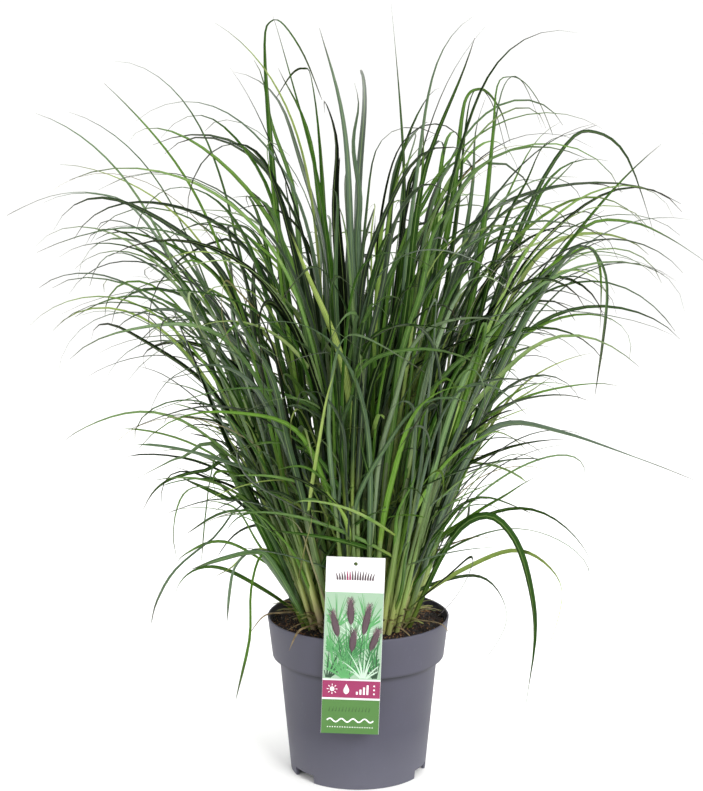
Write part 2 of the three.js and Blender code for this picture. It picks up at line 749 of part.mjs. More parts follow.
const POT_PLASTIC = { color: 0x6a6972, roughness: 0.62, metalness: 0 };
const SOIL = { color: 0x3a2a20, roughness: 0.95, metalness: 0 };
const LABEL_PLASTIC = { color: 0xf1f2ee, roughness: 0.35, metalness: 0 };
const GRASS_GREENS = [0x4c6b34, 0x55763a, 0x46652f, 0x5c7d45, 0x4e7038, 0x587a3c, 0x60813f, 0x527539];

// Assembly

function piece(name, geometry, finish) {
  const mesh = new THREE.Mesh(geometry, new THREE.MeshStandardMaterial(finish));
  mesh.name = name;
  return mesh;
}

const pottedGrass = new THREE.Group();
const pot = new THREE.Group();
pot.add(piece("pot", potGeometry(), POT_PLASTIC));
pot.add(piece("soil", soilGeometry(), SOIL));
pot.add(piece("label", labelGeometry(), LABEL_PLASTIC));
const clump = new THREE.Group();
for (let tuft = 0; tuft < TUFT_COUNT; tuft += 1) {
  const finish = { color: GRASS_GREENS[tuft], roughness: 0.5, metalness: 0 };
  clump.add(piece(`tuft_${tuft + 1}`, tuftGeometry(tuft), finish));
}
pottedGrass.add(pot, clump);

export default pottedGrass;
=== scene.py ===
# %% [markdown]
# # A fountain grass in its nursery pot
#
# The object is a young clump of fountain grass, a perennial with long, narrow, arching leaves.
# It stands in a round plastic nursery pot, and a printed plant label is folded over the rim.
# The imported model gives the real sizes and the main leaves. This file gives each surface its
# finish, sweeps fine blades along the main leaves, and adds the thinner leaves between them.

# %% Load the frame
import math

import bpy
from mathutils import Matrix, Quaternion, Vector, noise


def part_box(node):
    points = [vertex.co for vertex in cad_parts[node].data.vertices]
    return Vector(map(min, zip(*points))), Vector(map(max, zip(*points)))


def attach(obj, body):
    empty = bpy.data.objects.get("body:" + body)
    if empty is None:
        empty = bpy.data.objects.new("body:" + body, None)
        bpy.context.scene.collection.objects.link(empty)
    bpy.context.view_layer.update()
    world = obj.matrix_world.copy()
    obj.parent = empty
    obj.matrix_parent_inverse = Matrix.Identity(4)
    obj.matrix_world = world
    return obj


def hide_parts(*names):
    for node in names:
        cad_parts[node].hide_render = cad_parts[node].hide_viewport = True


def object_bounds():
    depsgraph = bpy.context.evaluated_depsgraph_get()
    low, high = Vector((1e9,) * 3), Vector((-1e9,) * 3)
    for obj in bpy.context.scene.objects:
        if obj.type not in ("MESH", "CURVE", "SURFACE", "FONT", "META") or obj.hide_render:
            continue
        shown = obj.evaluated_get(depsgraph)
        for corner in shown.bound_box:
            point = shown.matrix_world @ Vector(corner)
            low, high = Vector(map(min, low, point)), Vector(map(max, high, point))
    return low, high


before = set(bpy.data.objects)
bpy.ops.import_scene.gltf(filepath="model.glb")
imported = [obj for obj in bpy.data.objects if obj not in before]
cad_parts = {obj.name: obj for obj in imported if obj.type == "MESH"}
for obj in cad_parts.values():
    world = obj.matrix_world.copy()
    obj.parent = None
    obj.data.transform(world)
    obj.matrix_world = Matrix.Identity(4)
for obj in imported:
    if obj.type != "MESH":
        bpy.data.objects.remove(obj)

frame_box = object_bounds()
print("nodes in the frame:", sorted(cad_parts))

# %% [markdown]
# ## Camera
#
# The photograph looks slightly down at the front of the pot from a little over two metres.
# The pot's rim, collar and foot are ellipses in it, and their flatness gives the tilt.
# A long lens that far away keeps the pot's sides nearly parallel, as they are in the photograph.

# %% Camera
CAMERA_PLACE = (-0.0085, -2.2, 0.863)
CAMERA_TILT = 9.9
LENS = 82.33
SENSOR = 36.0
NEAREST = 0.05
FARTHEST = 60.0


def add_object(name, data):
    """Puts a camera, a light or a mesh into the scene as an object."""
    made = bpy.data.objects.new(name, data)
    bpy.context.scene.collection.objects.link(made)
    return made


camera_data = bpy.data.cameras.new("camera")
camera_data.lens = LENS
camera_data.sensor_width = SENSOR
camera_data.clip_start = NEAREST
camera_data.clip_end = FARTHEST
camera = add_object("camera", camera_data)
camera.location = CAMERA_PLACE
camera.rotation_euler = (math.radians(90 - CAMERA_TILT), 0, 0)
bpy.context.scene.camera = camera
print("the camera looks down by", CAMERA_TILT, "degrees")

# %% [markdown]
# ## Helpers for node trees and pieces
#
# Every material and every Geometry Nodes tree below is built with one function that adds a node,
# sets it up and links it. Lengths are written in millimetres, as a gardener would measure them,
# and turned to metres where a mesh is made.

# %% Units and colours
MM = 0.001


def linear(hex_colour):
    """Turns an sRGB colour such as "#6b6a73" into the linear colour that shaders work in."""
    channels = [int(hex_colour[i : i + 2], 16) / 255 for i in (1, 3, 5)]
    bent = [c / 12.92 if c <= 0.04045 else ((c + 0.055) / 1.055) ** 2.4 for c in channels]
    return (*bent, 1.0)


print("mid grey in linear light:", round(linear("#808080")[0], 3))

# %% Nodes
def fill_inputs(tree, node, inputs):
    """Fills a node's inputs, by name or number: outputs are linked, values and hex colours are set."""
    for key, value in inputs.items():
        if isinstance(value, bpy.types.NodeSocket):
            tree.links.new(value, node.inputs[key])
        elif isinstance(value, str) and value.startswith("#"):
            node.inputs[key].default_value = linear(value)
        else:
            node.inputs[key].default_value = value


def add_node(tree, kind, inputs=None, output=0, stops=(), **settings):
    """Adds a node with its settings, links and colour stops. Gives one output, or for None the node."""
    node = tree.nodes.new(kind)
    for name, value in settings.items():
        setattr(node, name, value)
    fill_inputs(tree, node, inputs or {})
    for i, (place, colour) in enumerate(stops):
        elements = node.color_ramp.elements
        element = elements[i] if i < len(elements) else elements.new(place)
        element.position = place
        element.color = linear(colour)
    return node if output is None else node.outputs[output]


def new_material(name):
    """Starts a material, and gives it with its tree and its Principled shader."""
    material = bpy.data.materials.new(name)
    material.use_nodes = True
    return material, material.node_tree, material.node_tree.nodes["Principled BSDF"]


def layered(tree, colour, layers):
    """Paints colours over a first one, each as far as its share says."""
    for share, paint in layers:
        mixed = {0: share, 6: colour, 7: paint}
        colour = add_node(tree, "ShaderNodeMix", mixed, 2, data_type="RGBA")
    return colour


print("helpers for nodes:", [helper.__name__ for helper in (fill_inputs, add_node, new_material, layered)])

# %% Pieces
def place_mesh(name, vertices, faces, materials=(), edges=()):
    """Makes an object at the origin from points in metres."""
    mesh = bpy.data.meshes.new(name)
    mesh.from_pydata(vertices, edges, faces)
    mesh.update()
    for material in materials:
        mesh.materials.append(material)
    return add_object(name, mesh)


def settle(piece):
    """Turns the result of a piece's modifiers into its plain mesh."""
    graph = bpy.context.evaluated_depsgraph_get()
    source = piece.evaluated_get(graph)
    plain = bpy.data.meshes.new_from_object(source, preserve_all_data_layers=True, depsgraph=graph)
    piece.modifiers.clear()
    piece.data = plain
    plain.name = piece.name
    return piece


def finish_piece(piece, slot, *nodes):
    """Lets a piece ride on the part's one body and stand for the nodes it replaces. The slot is not used."""
    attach(piece, "root")
    if nodes:
        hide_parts(*nodes)
    print(piece.name, len(piece.data.polygons), "faces")

# %% [markdown]
# ## Studio
#
# The photograph is a cut-out on white, so the stage is a wide pale bowl: a flat floor that
# curves up far behind the camera in every direction. No edge of it shows from any side.
# A large soft light stands to the right and in front, a weaker one to the left, and one is above.

# %% Rings of points
def circle(radius, sides):
    """Evenly spaced points on a circle about the vertical axis, as pairs of x and y."""
    angles = [2 * math.pi * side / sides for side in range(sides)]
    return [(radius * math.cos(angle), radius * math.sin(angle)) for angle in angles]


def ring_faces(rings, sides, end=None):
    """Faces between rings of points. Point 0 closes the first ring, and the point end the last one."""
    faces = []
    last = 1 + (rings - 1) * sides
    for side in range(sides):
        after = (side + 1) % sides
        faces.append((0, 1 + side, 1 + after))
        for ring in range(rings - 1):
            low = 1 + ring * sides
            high = low + sides
            faces.append((low + side, high + side, high + after, low + after))
        if end is not None:
            faces.append((last + side, end, last + after))
    return faces


print("two rings of 4 points make", len(ring_faces(2, 4)), "faces")

# %% Stage
STAGE_FLAT = 5.0
STAGE_CURVE = 3.0
STAGE_WALL = 6.0
STAGE_SIDES = 96
STAGE_BENDS = 12


def make_stage():
    """Turns the bowl's profile about the vertical axis: a flat floor, a curve and a wall."""
    bends = [math.radians(90 * step / STAGE_BENDS) for step in range(STAGE_BENDS + 1)]
    rings = [
        (STAGE_FLAT + STAGE_CURVE * math.sin(bend), STAGE_CURVE * (1 - math.cos(bend))) for bend in bends
    ]
    rings.append((STAGE_FLAT + STAGE_CURVE, STAGE_WALL))
    vertices = [(0, 0, 0)]
    for radius, height in rings:
        vertices.extend((x, y, height) for x, y in circle(radius, STAGE_SIDES))
    stage = place_mesh("studio_floor", vertices, ring_faces(len(rings), STAGE_SIDES))
    stage.data.shade_smooth()
    return stage


stage_material, stage_tree, stage_shader = new_material("matte white studio paint")
fill_inputs(stage_tree, stage_shader, {"Base Color": "#fafaf9", "Roughness": 0.9})
stage = make_stage()
stage.data.materials.append(stage_material)
print("the stage is", 2 * (STAGE_FLAT + STAGE_CURVE), "m across")

# %% Lights
# name, place, size of the square in metres, power in watts
LIGHTS = [
    ("key", (1.7, -2.7, 2.1), 1.6, 112),
    ("fill", (-2.2, -2.2, 1.5), 1.8, 16),
    ("top", (0.2, 0.9, 2.9), 2.2, 44),
]
LIGHT_TARGET = Vector((0, 0, 0.42))
SKY_STRENGTH = 1.02

for name, place, size, power in LIGHTS:
    light_data = bpy.data.lights.new(name, "AREA")
    light_data.size = size
    light_data.energy = power
    light = add_object(name, light_data)
    light.location = place
    light.rotation_euler = (LIGHT_TARGET - Vector(place)).to_track_quat("-Z", "Y").to_euler()

world = bpy.data.worlds.new("soft white sky")
world.use_nodes = True
sky = world.node_tree.nodes["Background"]
fill_inputs(world.node_tree, sky, {"Color": "#ffffff", "Strength": SKY_STRENGTH})
bpy.context.scene.world = world
bpy.context.scene.view_settings.view_transform = "Standard"
print("lights:", [row[0] for row in LIGHTS])

# %% [markdown]
# ## Pot plastic
#
# Nursery pots are injection moulded from recycled polypropylene. The grey is not quite even,
# the mould leaves a fine grain that keeps the gloss low, and handling leaves pale scuffs.
# Painted shade darkens the corner under the collar, and painted light from the floor pales the foot.
# The noise scales below are worked out from the size of each mark, because a Noise texture shows
# about one blob for every unit of its scale.

# %% Pot material
# sizes of the marks in millimetres
POT_GRAIN = 0.9
POT_MOTTLE = 38.0
POT_SCUFF = 5.0
SCUFF_SQUEEZE = (1.0, 1.0, 0.35)
# the height up to which painted light from the floor pales the foot, and the height and spread of
# the painted shade in the corner under the collar
POT_FLOOR_LIGHT_HEIGHT = 70.0
POT_SHADE_HEIGHT = 146.0
POT_SHADE_SPREAD = 6.0


def make_pot_plastic():
    """Moulded grey polypropylene with a fine grain and faint scuffs."""
    material, tree, shader = new_material("moulded recycled polypropylene")
    place = add_node(tree, "ShaderNodeTexCoord", output="Object")
    mottle = add_node(
        tree, "ShaderNodeTexNoise", {"Vector": place, "Scale": 1 / (POT_MOTTLE * MM), "Detail": 3.0}
    )
    squeeze = add_node(tree, "ShaderNodeMapping", {"Vector": place, "Scale": SCUFF_SQUEEZE})
    scuffs = add_node(
        tree,
        "ShaderNodeTexNoise",
        {"Vector": squeeze, "Scale": 1 / (POT_SCUFF * MM), "Detail": 5.0, "Roughness": 0.7},
    )
    worn = add_node(tree, "ShaderNodeMapRange", {0: scuffs, 1: 0.62, 2: 0.78, 3: 0.0, 4: 0.45})
    height = add_node(tree, "ShaderNodeSeparateXYZ", {0: place}, "Z")
    # painted light from the floor: the wall gets paler from this height down to the foot
    painted_floor_light = add_node(tree, "ShaderNodeMapRange", {0: height, 1: POT_FLOOR_LIGHT_HEIGHT * MM, 2: 0.0, 3: 0.0, 4: 0.6})
    # painted shade in the corner under the collar: darkest at its height, fading out within its spread
    above = add_node(tree, "ShaderNodeMath", {0: height, 1: POT_SHADE_HEIGHT * MM}, operation="SUBTRACT")
    away = add_node(tree, "ShaderNodeMath", {0: above}, operation="ABSOLUTE")
    painted_collar_shade = add_node(tree, "ShaderNodeMapRange", {0: away, 1: 0.0, 2: POT_SHADE_SPREAD * MM, 3: 0.85, 4: 0.0})
    layers = [(mottle, "#424150"), (worn, "#585863"), (painted_floor_light, "#62626e"), (painted_collar_shade, "#1a1a20")]
    grain = add_node(
        tree, "ShaderNodeTexNoise", {"Vector": place, "Scale": 1 / (POT_GRAIN * MM), "Detail": 2.0}
    )
    finish = {
        "Base Color": layered(tree, "#393845", layers),
        "Roughness": add_node(tree, "ShaderNodeMapRange", {0: mottle, 3: 0.5, 4: 0.66}),
        "Normal": add_node(tree, "ShaderNodeBump", {"Height": grain, "Strength": 0.25, "Distance": 0.0002}),
    }
    fill_inputs(tree, shader, finish)
    return material


pot_plastic = make_pot_plastic()
print("material:", pot_plastic.name)

# %% [markdown]
# ## Pot
#
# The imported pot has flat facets. This one is the same pot turned with many more sides, and with
# the small rounds that a mould leaves at the lip, under the collar and at the foot. A profile
# turned about an axis is the plainest way to make it, and Booleans then cut the three notches in
# the foot and the drain holes, because those are cut from a turned shape on the real mould too.

# %% Pot sizes
pot_low, pot_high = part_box("pot")
RIM = pot_high.x / MM
POT_HEIGHT = pot_high.z / MM
COLLAR_DEPTH = 51.0
COLLAR_FOOT = 108.2
NECK = 99.8
FOOT = 85.6
WALL = 1.9
FOOT_RING = 3.5
FLOOR_UNDERSIDE = 12.0
FLOOR_TOP = 14.2
LEDGE = POT_HEIGHT - COLLAR_DEPTH
POT_SIDES = 192
NOTCH_ANGLES = (97.5, 217.5, 337.5)
NOTCH_WIDTH = 25.0
NOTCH_HEIGHT = 11.0
DRAIN_COUNT = 6
DRAIN_FIRST_ANGLE = 7.5
DRAIN_RADIUS = 6.0
DRAIN_CIRCLE = 52.0
NOTCH_STEPS = 8
NOTCH_DEPTH = 8.0
NOTCH_BELOW = 5.0
DRAIN_SIDES = 32
SHARP_ANGLE = 32
# radii of the rounds that the mould leaves
FOOT_ROUND = 0.8
LEDGE_ROUND = 1.1
LIP_ROUND = 1.25
INSIDE_ROUND = 1.5
BEVEL = 1.2
FOOT_BEVEL = 0.4
# the lip is a little thicker over its last millimetres
LIP_DEPTH = 6.0
LIP_BEAD = 5.2
LIP_STEP = 0.45
LIP_INSIDE = 1.1
print("the rim is", round(2 * RIM), "mm across")

# %% Turned shapes
def arc(middle, radius, start, end, steps):
    """Points of an arc in a profile, from one angle to another in degrees."""
    angles = [math.radians(start + (end - start) * step / steps) for step in range(steps + 1)]
    return [(middle[0] + radius * math.cos(a), middle[1] + radius * math.sin(a)) for a in angles]


def wall_radius(height):
    """The pot's outer radius at a height."""
    if height < LEDGE:
        return FOOT + (NECK - FOOT) * height / LEDGE
    return COLLAR_FOOT + (RIM - COLLAR_FOOT) * (height - LEDGE) / COLLAR_DEPTH


def turn_profile(name, profile, sides, materials):
    """Turns a profile of radius and height, which starts and ends on the axis, into a closed mesh."""
    inner = profile[1:-1]
    vertices = [(0, 0, profile[0][1] * MM), (0, 0, profile[-1][1] * MM)]
    for x, y in circle(1.0, sides):
        direction = Vector((x, y, 0)) * MM
        vertices.extend(direction * radius + Vector((0, 0, height * MM)) for radius, height in inner)
    faces = []
    count = len(inner)
    for side in range(sides):
        here = 2 + side * count
        there = 2 + ((side + 1) % sides) * count
        faces.append((0, there, here))
        faces.append((1, here + count - 1, there + count - 1))
        for i in range(count - 1):
            faces.append((here + i, there + i, there + i + 1, here + i + 1))
    return place_mesh(name, vertices, faces, materials)

# %% Pot shape
def pot_profile():
    """The pot's section from the middle of its underside, out, up, over the lip and back in."""
    inside = wall_radius(FLOOR_TOP) - WALL
    ring_inside = FOOT - FOOT_RING
    return [
        (0, FLOOR_UNDERSIDE),
        (ring_inside - BEVEL, FLOOR_UNDERSIDE),
        (ring_inside, FLOOR_UNDERSIDE - BEVEL),
        (ring_inside, FOOT_BEVEL),
        (ring_inside + FOOT_BEVEL, 0),
        *arc((FOOT - FOOT_ROUND, FOOT_ROUND), FOOT_ROUND, -90, -5, 4),
        (wall_radius(LEDGE / 2), LEDGE / 2),
        (wall_radius(LEDGE - 1.6), LEDGE - 1.6),
        *arc((NECK + LEDGE_ROUND, LEDGE - LEDGE_ROUND), LEDGE_ROUND, 175, 90, 4),
        *arc((COLLAR_FOOT - FOOT_ROUND, LEDGE + FOOT_ROUND), FOOT_ROUND, -90, -8, 4),
        (wall_radius(POT_HEIGHT - LIP_DEPTH), POT_HEIGHT - LIP_DEPTH),
        (RIM - LIP_STEP, POT_HEIGHT - LIP_BEAD),
        *arc((RIM - LIP_ROUND, POT_HEIGHT - LIP_ROUND), LIP_ROUND, -10, 190, 10),
        (RIM - WALL - LIP_INSIDE, POT_HEIGHT - LIP_DEPTH),
        (wall_radius(LEDGE + WALL) - WALL, LEDGE + WALL),
        (wall_radius(LEDGE - 1) - WALL, LEDGE - WALL),
        (inside, FLOOR_TOP + INSIDE_ROUND),
        (inside - INSIDE_ROUND, FLOOR_TOP),
        (0, FLOOR_TOP),
    ]


def ring_sector(middle_angle, width, inner, outer, top):
    """A block that cuts one notch: part of a ring, from below the floor up to a height."""
    bends = range(NOTCH_STEPS + 1)
    angles = [math.radians(middle_angle + width * (bend / NOTCH_STEPS - 0.5)) for bend in bends]
    corners = ((inner, -NOTCH_BELOW), (outer, -NOTCH_BELOW), (outer, top), (inner, top))
    vertices = []
    for angle in angles:
        for radius, height in corners:
            vertices.append((radius * math.cos(angle) * MM, radius * math.sin(angle) * MM, height * MM))
    faces = [(0, 1, 2, 3), tuple(len(vertices) - 4 + i for i in (3, 2, 1, 0))]
    for step in range(NOTCH_STEPS):
        for i in range(4):
            a, b = 4 * step + i, 4 * step + (i + 1) % 4
            faces.append((b, a, a + 4, b + 4))
    return place_mesh("notch_cutter", vertices, faces)


def cut(piece, cutter):
    """Takes a cutter's space out of a piece, and removes the cutter."""
    modifier = piece.modifiers.new("cut", "BOOLEAN")
    modifier.operation = "DIFFERENCE"
    modifier.solver = "EXACT"
    modifier.object = cutter
    settle(piece)
    bpy.data.objects.remove(cutter)


def make_pot():
    """The nursery pot with its foot notches and drain holes."""
    piece = turn_profile("nursery_pot", pot_profile(), POT_SIDES, [pot_plastic])
    inner, outer = FOOT - NOTCH_DEPTH, FOOT + NOTCH_DEPTH
    for angle in NOTCH_ANGLES:
        cut(piece, ring_sector(angle, NOTCH_WIDTH, inner, outer, NOTCH_HEIGHT))
    for drain in range(DRAIN_COUNT):
        angle = math.radians(DRAIN_FIRST_ANGLE + 360 * drain / DRAIN_COUNT)
        bpy.ops.mesh.primitive_cylinder_add(vertices=DRAIN_SIDES, radius=DRAIN_RADIUS * MM, depth=0.05)
        cutter = bpy.context.object
        cutter.location = (DRAIN_CIRCLE * MM * math.cos(angle), DRAIN_CIRCLE * MM * math.sin(angle), 0)
        cut(piece, cutter)
    piece.data.shade_smooth()
    piece.data.set_sharp_from_angle(angle=math.radians(SHARP_ANGLE))
    return piece


pot = make_pot()
finish_piece(pot, "pot_plastic", "pot")

# %% [markdown]
# ## How the grass grows
#
# Fountain grass makes a dense clump of shoots, which gardeners call tillers. Each tiller has a few
# long narrow leaves, one above the other. They rise steeply, bow outwards and hang at the tips.
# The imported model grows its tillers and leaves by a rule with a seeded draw, and the same rule is
# written out here, number for number, so that each fine leaf lies exactly where the solid one is.
# The clump is eight tufts, like slices of a cake. A leaf is kept inside its tuft's slice.

# %% Random draw
WORD = 0xFFFFFFFF
DRAW_STEP = 0x6D2B79F5


def make_random(seed):
    """Gives a function that draws numbers from 0 to 1, always the same ones for one seed."""
    state = seed & WORD

    def draw():
        nonlocal state
        state = (state + DRAW_STEP) & WORD
        mixed = ((state ^ (state >> 15)) * (state | 1)) & WORD
        mixed = (mixed ^ (mixed + ((mixed ^ (mixed >> 7)) * (mixed | 61) & WORD) & WORD)) & WORD
        return (mixed ^ (mixed >> 14)) / (WORD + 1)

    return draw


def lerp(first, second, share):
    """The value a share of the way from the first to the second."""
    return first + (second - first) * share


def clamp(value, low, high):
    """The value, kept between two limits."""
    return max(low, min(high, value))


def within(limits, random):
    """A draw from a range."""
    return lerp(*limits, random())


def stray(size, random):
    """A draw that strays as far to either side of zero."""
    return (random() - 0.5) * size


print("first draws:", [round(make_random(seed)(), 4) for seed in (5310, 5311)])

# %% Sizes of the clump
TUFT_COUNT = 8
FRONT_TUFT = 6
SEED = 5310
HALF_SLICE = math.pi / TUFT_COUNT
GAP = 0.3
CROWN_TOP = 194.0
CROWN_RADIUS = 75.0
REACH_LIMIT = 400.0
HEIGHT_LIMIT = 930.0
# distance from the middle, and place across the slice from -1 to 1
TILLER_SPOTS = [(24, 0), (40, -0.7), (43, 0.65), (59, -0.85), (62, 0.05), (60, 0.85)]
TILLER_STRAY = 8
TILLER_SIDE_STRAY = 0.3
TILLER_FOOT = 188.0
TILLER_BASE_RADIUS = 4.6
TILLER_TOP_RADIUS = 2.3
TILLER_CLEARANCE = 0.4
print(TUFT_COUNT, "tufts with", len(TILLER_SPOTS), "main shoots each")

# %% From the heart of the clump to its edge
HEART_REACH = 20
EDGE_REACH = 64
TILLER_LEAN = (3, 21)
TILLER_LEAN_STRAY = 8
LEAST_LEAN = 1
TILLER_LENGTH = (300, 230)
TILLER_LENGTH_SHARE = (0.75, 1.25)
EDGE_SHORTER = 60
# share of the lean that each tuft has, from the right round by the back and the front
TUFT_LEAN = [0.8, 0.9, 1.0, 1.0, 0.96, 0.95, 0.7, 0.85]
FRONT_DROOP = 0.6
print("main shoots are", TILLER_LENGTH, "mm long at the heart and at the edge of the clump")

# %% Leaves of a tiller
LEAF_STEPS = 50
LEAF_THICKNESS = 1.1
# place on the tiller, reach from the soil, extra lean in degrees, least width
LEAF_KINDS = [(0.12, 420, 12, 6.2), (0.4, 640, 6, 7.2), (0.66, 770, 4, 7.4), (0.92, 840, 3, 7.4)]
LEAF_START_STRAY = 0.12
LEAF_REACH_SHARE = (0.7, 1.04)
LEAF_SHORTEST = 190
LEAF_SPREAD_SHARE = (-0.2, 1)
LEAF_DROOP = (35, 165)
LEAF_POWER = (2, 4.6)
LEAF_SIDE_STRAY = 1.8
LEAF_EXTRA_WIDTH = (0, 3)
LEAF_TWIST = 1.8
SHEATH_WIDTH = 0.6
SHEATH_END = 0.2
TIP_TAPER = 2.4
TIP_SHARPNESS = 0.9
SIDE_MARGIN = 0.02
WIDEST_SINE = 0.95
# share of its length over which a creased leaf bends
FOLD_SPREAD = 0.05
print(len(LEAF_KINDS), "main leaves on each main shoot")

# %% Tillers and leaves
def leaf_width(width, along):
    """A leaf narrows to a sheath at its foot and to a point at its tip."""
    sheath = lerp(SHEATH_WIDTH, 1, min(1, along / SHEATH_END))
    return width * sheath * max(0, 1 - along**TIP_TAPER) ** TIP_SHARPNESS


def grow_tiller(tuft, spot, random):
    """One main shoot at a spot of the tuft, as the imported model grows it."""
    reach = spot[0] + stray(TILLER_STRAY, random)
    side = clamp(spot[1] + stray(TILLER_SIDE_STRAY, random), -1, 1)
    outward = clamp((reach - HEART_REACH) / (EDGE_REACH - HEART_REACH), 0, 1)
    offset = side * (HALF_SLICE - math.asin((TILLER_BASE_RADIUS + TILLER_CLEARANCE) / reach))
    free = math.radians(lerp(*TILLER_LEAN, outward) + stray(TILLER_LEAN_STRAY, random))
    lean = max(free * TUFT_LEAN[tuft], math.radians(LEAST_LEAN))
    length = lerp(*TILLER_LENGTH, outward) * within(TILLER_LENGTH_SHARE, random)
    return {
        "tuft": tuft, "reach": reach, "side": side, "outward": outward,
        "offset": offset, "lean": lean, "length": length,
    }


def grow_leaf(tiller, kind, random):
    """One leaf of a shoot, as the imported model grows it."""
    share, reach, spread, least_width = kind
    start = tiller["length"] * (share + stray(LEAF_START_STRAY, random))
    whole = (reach - EDGE_SHORTER * tiller["outward"]) * within(LEAF_REACH_SHARE, random)
    leaf = {"start": start, "length": max(LEAF_SHORTEST, whole - start)}
    free = tiller["lean"] + math.radians(spread) * within(LEAF_SPREAD_SHARE, random)
    leaf["lean"] = max(free, math.radians(LEAST_LEAN))
    held = FRONT_DROOP if tiller["tuft"] == FRONT_TUFT else 1
    leaf["droop"] = held * math.radians(within(LEAF_DROOP, random))
    leaf["power"] = within(LEAF_POWER, random)
    leaf["side"] = clamp(tiller["side"] + stray(LEAF_SIDE_STRAY, random), -1, 1)
    leaf["width"] = least_width + within(LEAF_EXTRA_WIDTH, random)
    leaf["twist"] = stray(LEAF_TWIST, random)
    return leaf

# %% The line of a leaf
def slice_angle(tuft):
    """The angle of the middle of a tuft's slice."""
    return 2 * HALF_SLICE * tuft


def slice_point(tuft, reach, offset, height):
    """A point at a distance and an angle from the middle of a tuft's slice."""
    angle = slice_angle(tuft) + offset
    return Vector((reach * math.cos(angle), reach * math.sin(angle), height))


def leaf_line(tiller, leaf, length):
    """The line of a leaf that rises, bows outwards and hangs, kept inside its slice."""
    reach = tiller["reach"] + leaf["start"] * math.sin(tiller["lean"])
    height = TILLER_FOOT + leaf["start"] * math.cos(tiller["lean"])
    points = [slice_point(tiller["tuft"], reach, tiller["offset"], height)]
    target = leaf["side"] * (HALF_SLICE - SIDE_MARGIN)
    swing = leaf.get("swing", 0)
    fold_place, fold_angle = leaf.get("fold", (1, 0))
    for step in range(1, LEAF_STEPS + 1):
        along = step / LEAF_STEPS
        turn = leaf["lean"] + leaf["droop"] * ((step - 0.5) / LEAF_STEPS) ** leaf["power"]
        turn += fold_angle * clamp((along - fold_place) / FOLD_SPREAD, 0, 1)
        reach += math.sin(turn) * length / LEAF_STEPS
        height += math.cos(turn) * length / LEAF_STEPS
        drift = along * along * (3 - 2 * along)
        clearance = leaf_width(leaf["width"], along) / 2 + LEAF_THICKNESS + GAP
        limit = HALF_SLICE - math.asin(min(WIDEST_SINE, clearance / max(reach, clearance)))
        offset = clamp(lerp(tiller["offset"], target, drift), -limit, limit) + swing * along * along
        points.append(slice_point(tiller["tuft"], reach, offset, height))
    return points


def limited_line(tiller, leaf, reach_limit=REACH_LIMIT, height_limit=HEIGHT_LIMIT):
    """The leaf's line, shortened where it would reach past the clump's limits."""
    line = leaf_line(tiller, leaf, leaf["length"])
    start = math.hypot(line[0].x, line[0].y)
    widest = max(math.hypot(point.x, point.y) for point in line)
    tallest = max(point.z for point in line)
    share = 1.0
    if widest > reach_limit:
        share = (reach_limit - start) / (widest - start)
    if tallest > height_limit:
        share = min(share, (height_limit - line[0].z) / (tallest - line[0].z))
    return line if share == 1.0 else leaf_line(tiller, leaf, leaf["length"] * share)

# %% [markdown]
# The longest leaves make the plant's outline, so they are given one by one. Each is a smooth curve
# through a few points. It keeps its flat face to the front and turns edge on near its tip.

# %% Leaves given one by one
# tuft, width, points in millimetres
LONG_LEAVES = [
    (3, 8, [
        (-42, 32, 185), (-58, 42, 310), (-92, 66, 590), (-108, 84, 776), (-115, 90, 906),
        (-107, 89, 934), (-92, 84, 929), (-67, 76, 892), (-45, 70, 838),
    ]),
    (3, 8.5, [
        (-33, 38, 185), (-36, 52, 400), (-39, 62, 590), (-46, 72, 777), (-58, 82, 865),
        (-68, 88, 877), (-83, 98, 870), (-104, 110, 840),
    ]),
    (1, 4.5, [(21, 28, 185), (45, 54, 464), (57, 68, 690), (52, 72, 838), (40, 70, 956)]),
    (1, 7.5, [
        (33, 33, 185), (89, 60, 463), (123, 76, 677), (135, 84, 807), (143, 86, 846),
        (155, 87, 850), (170, 88, 826), (187, 90, 769),
    ]),
    (1, 7, [
        (40, 28, 185), (117, 66, 487), (158, 84, 689), (173, 92, 816), (187, 94, 863),
        (207, 98, 858), (232, 108, 803),
    ]),
    (4, 5, [
        (-62, 0, 185), (-157, 2, 448), (-218, 5, 622), (-271, 6, 707), (-319, 6, 728),
        (-374, 4, 724), (-428, 0, 700),
    ]),
    (0, 5, [
        (62, 0, 185), (151, 2, 435), (222, 4, 609), (275, 6, 685), (331, 6, 692),
        (379, 4, 673), (424, 0, 644),
    ]),
    (0, 5.5, [
        (57, 4, 185), (129, 14, 471), (198, 20, 682), (253, 24, 784), (289, 26, 800),
        (329, 26, 769), (365, 24, 671),
    ]),
    (7, 7.5, [
        (56, -31, 185), (99, -60, 336), (140, -80, 432), (179, -98, 462), (235, -124, 457),
        (301, -156, 440), (383, -192, 415),
    ]),
    (7, 9, [
        (55, -32, 185), (120, -66, 399), (178, -96, 550), (231, -124, 650), (255, -136, 675),
        (274, -146, 659), (282, -148, 615), (272, -142, 503),
    ]),
    (5, 6.5, [
        (-55, -31, 185), (-94, -52, 276), (-117, -66, 292), (-129, -84, 255), (-131, -92, 194),
        (-149, -98, 121),
    ]),
    (7, 8, [
        (60, -33, 185), (111, -62, 311), (153, -84, 347), (186, -100, 321), (205, -108, 262),
        (211, -110, 200), (201, -106, 108),
    ]),
]

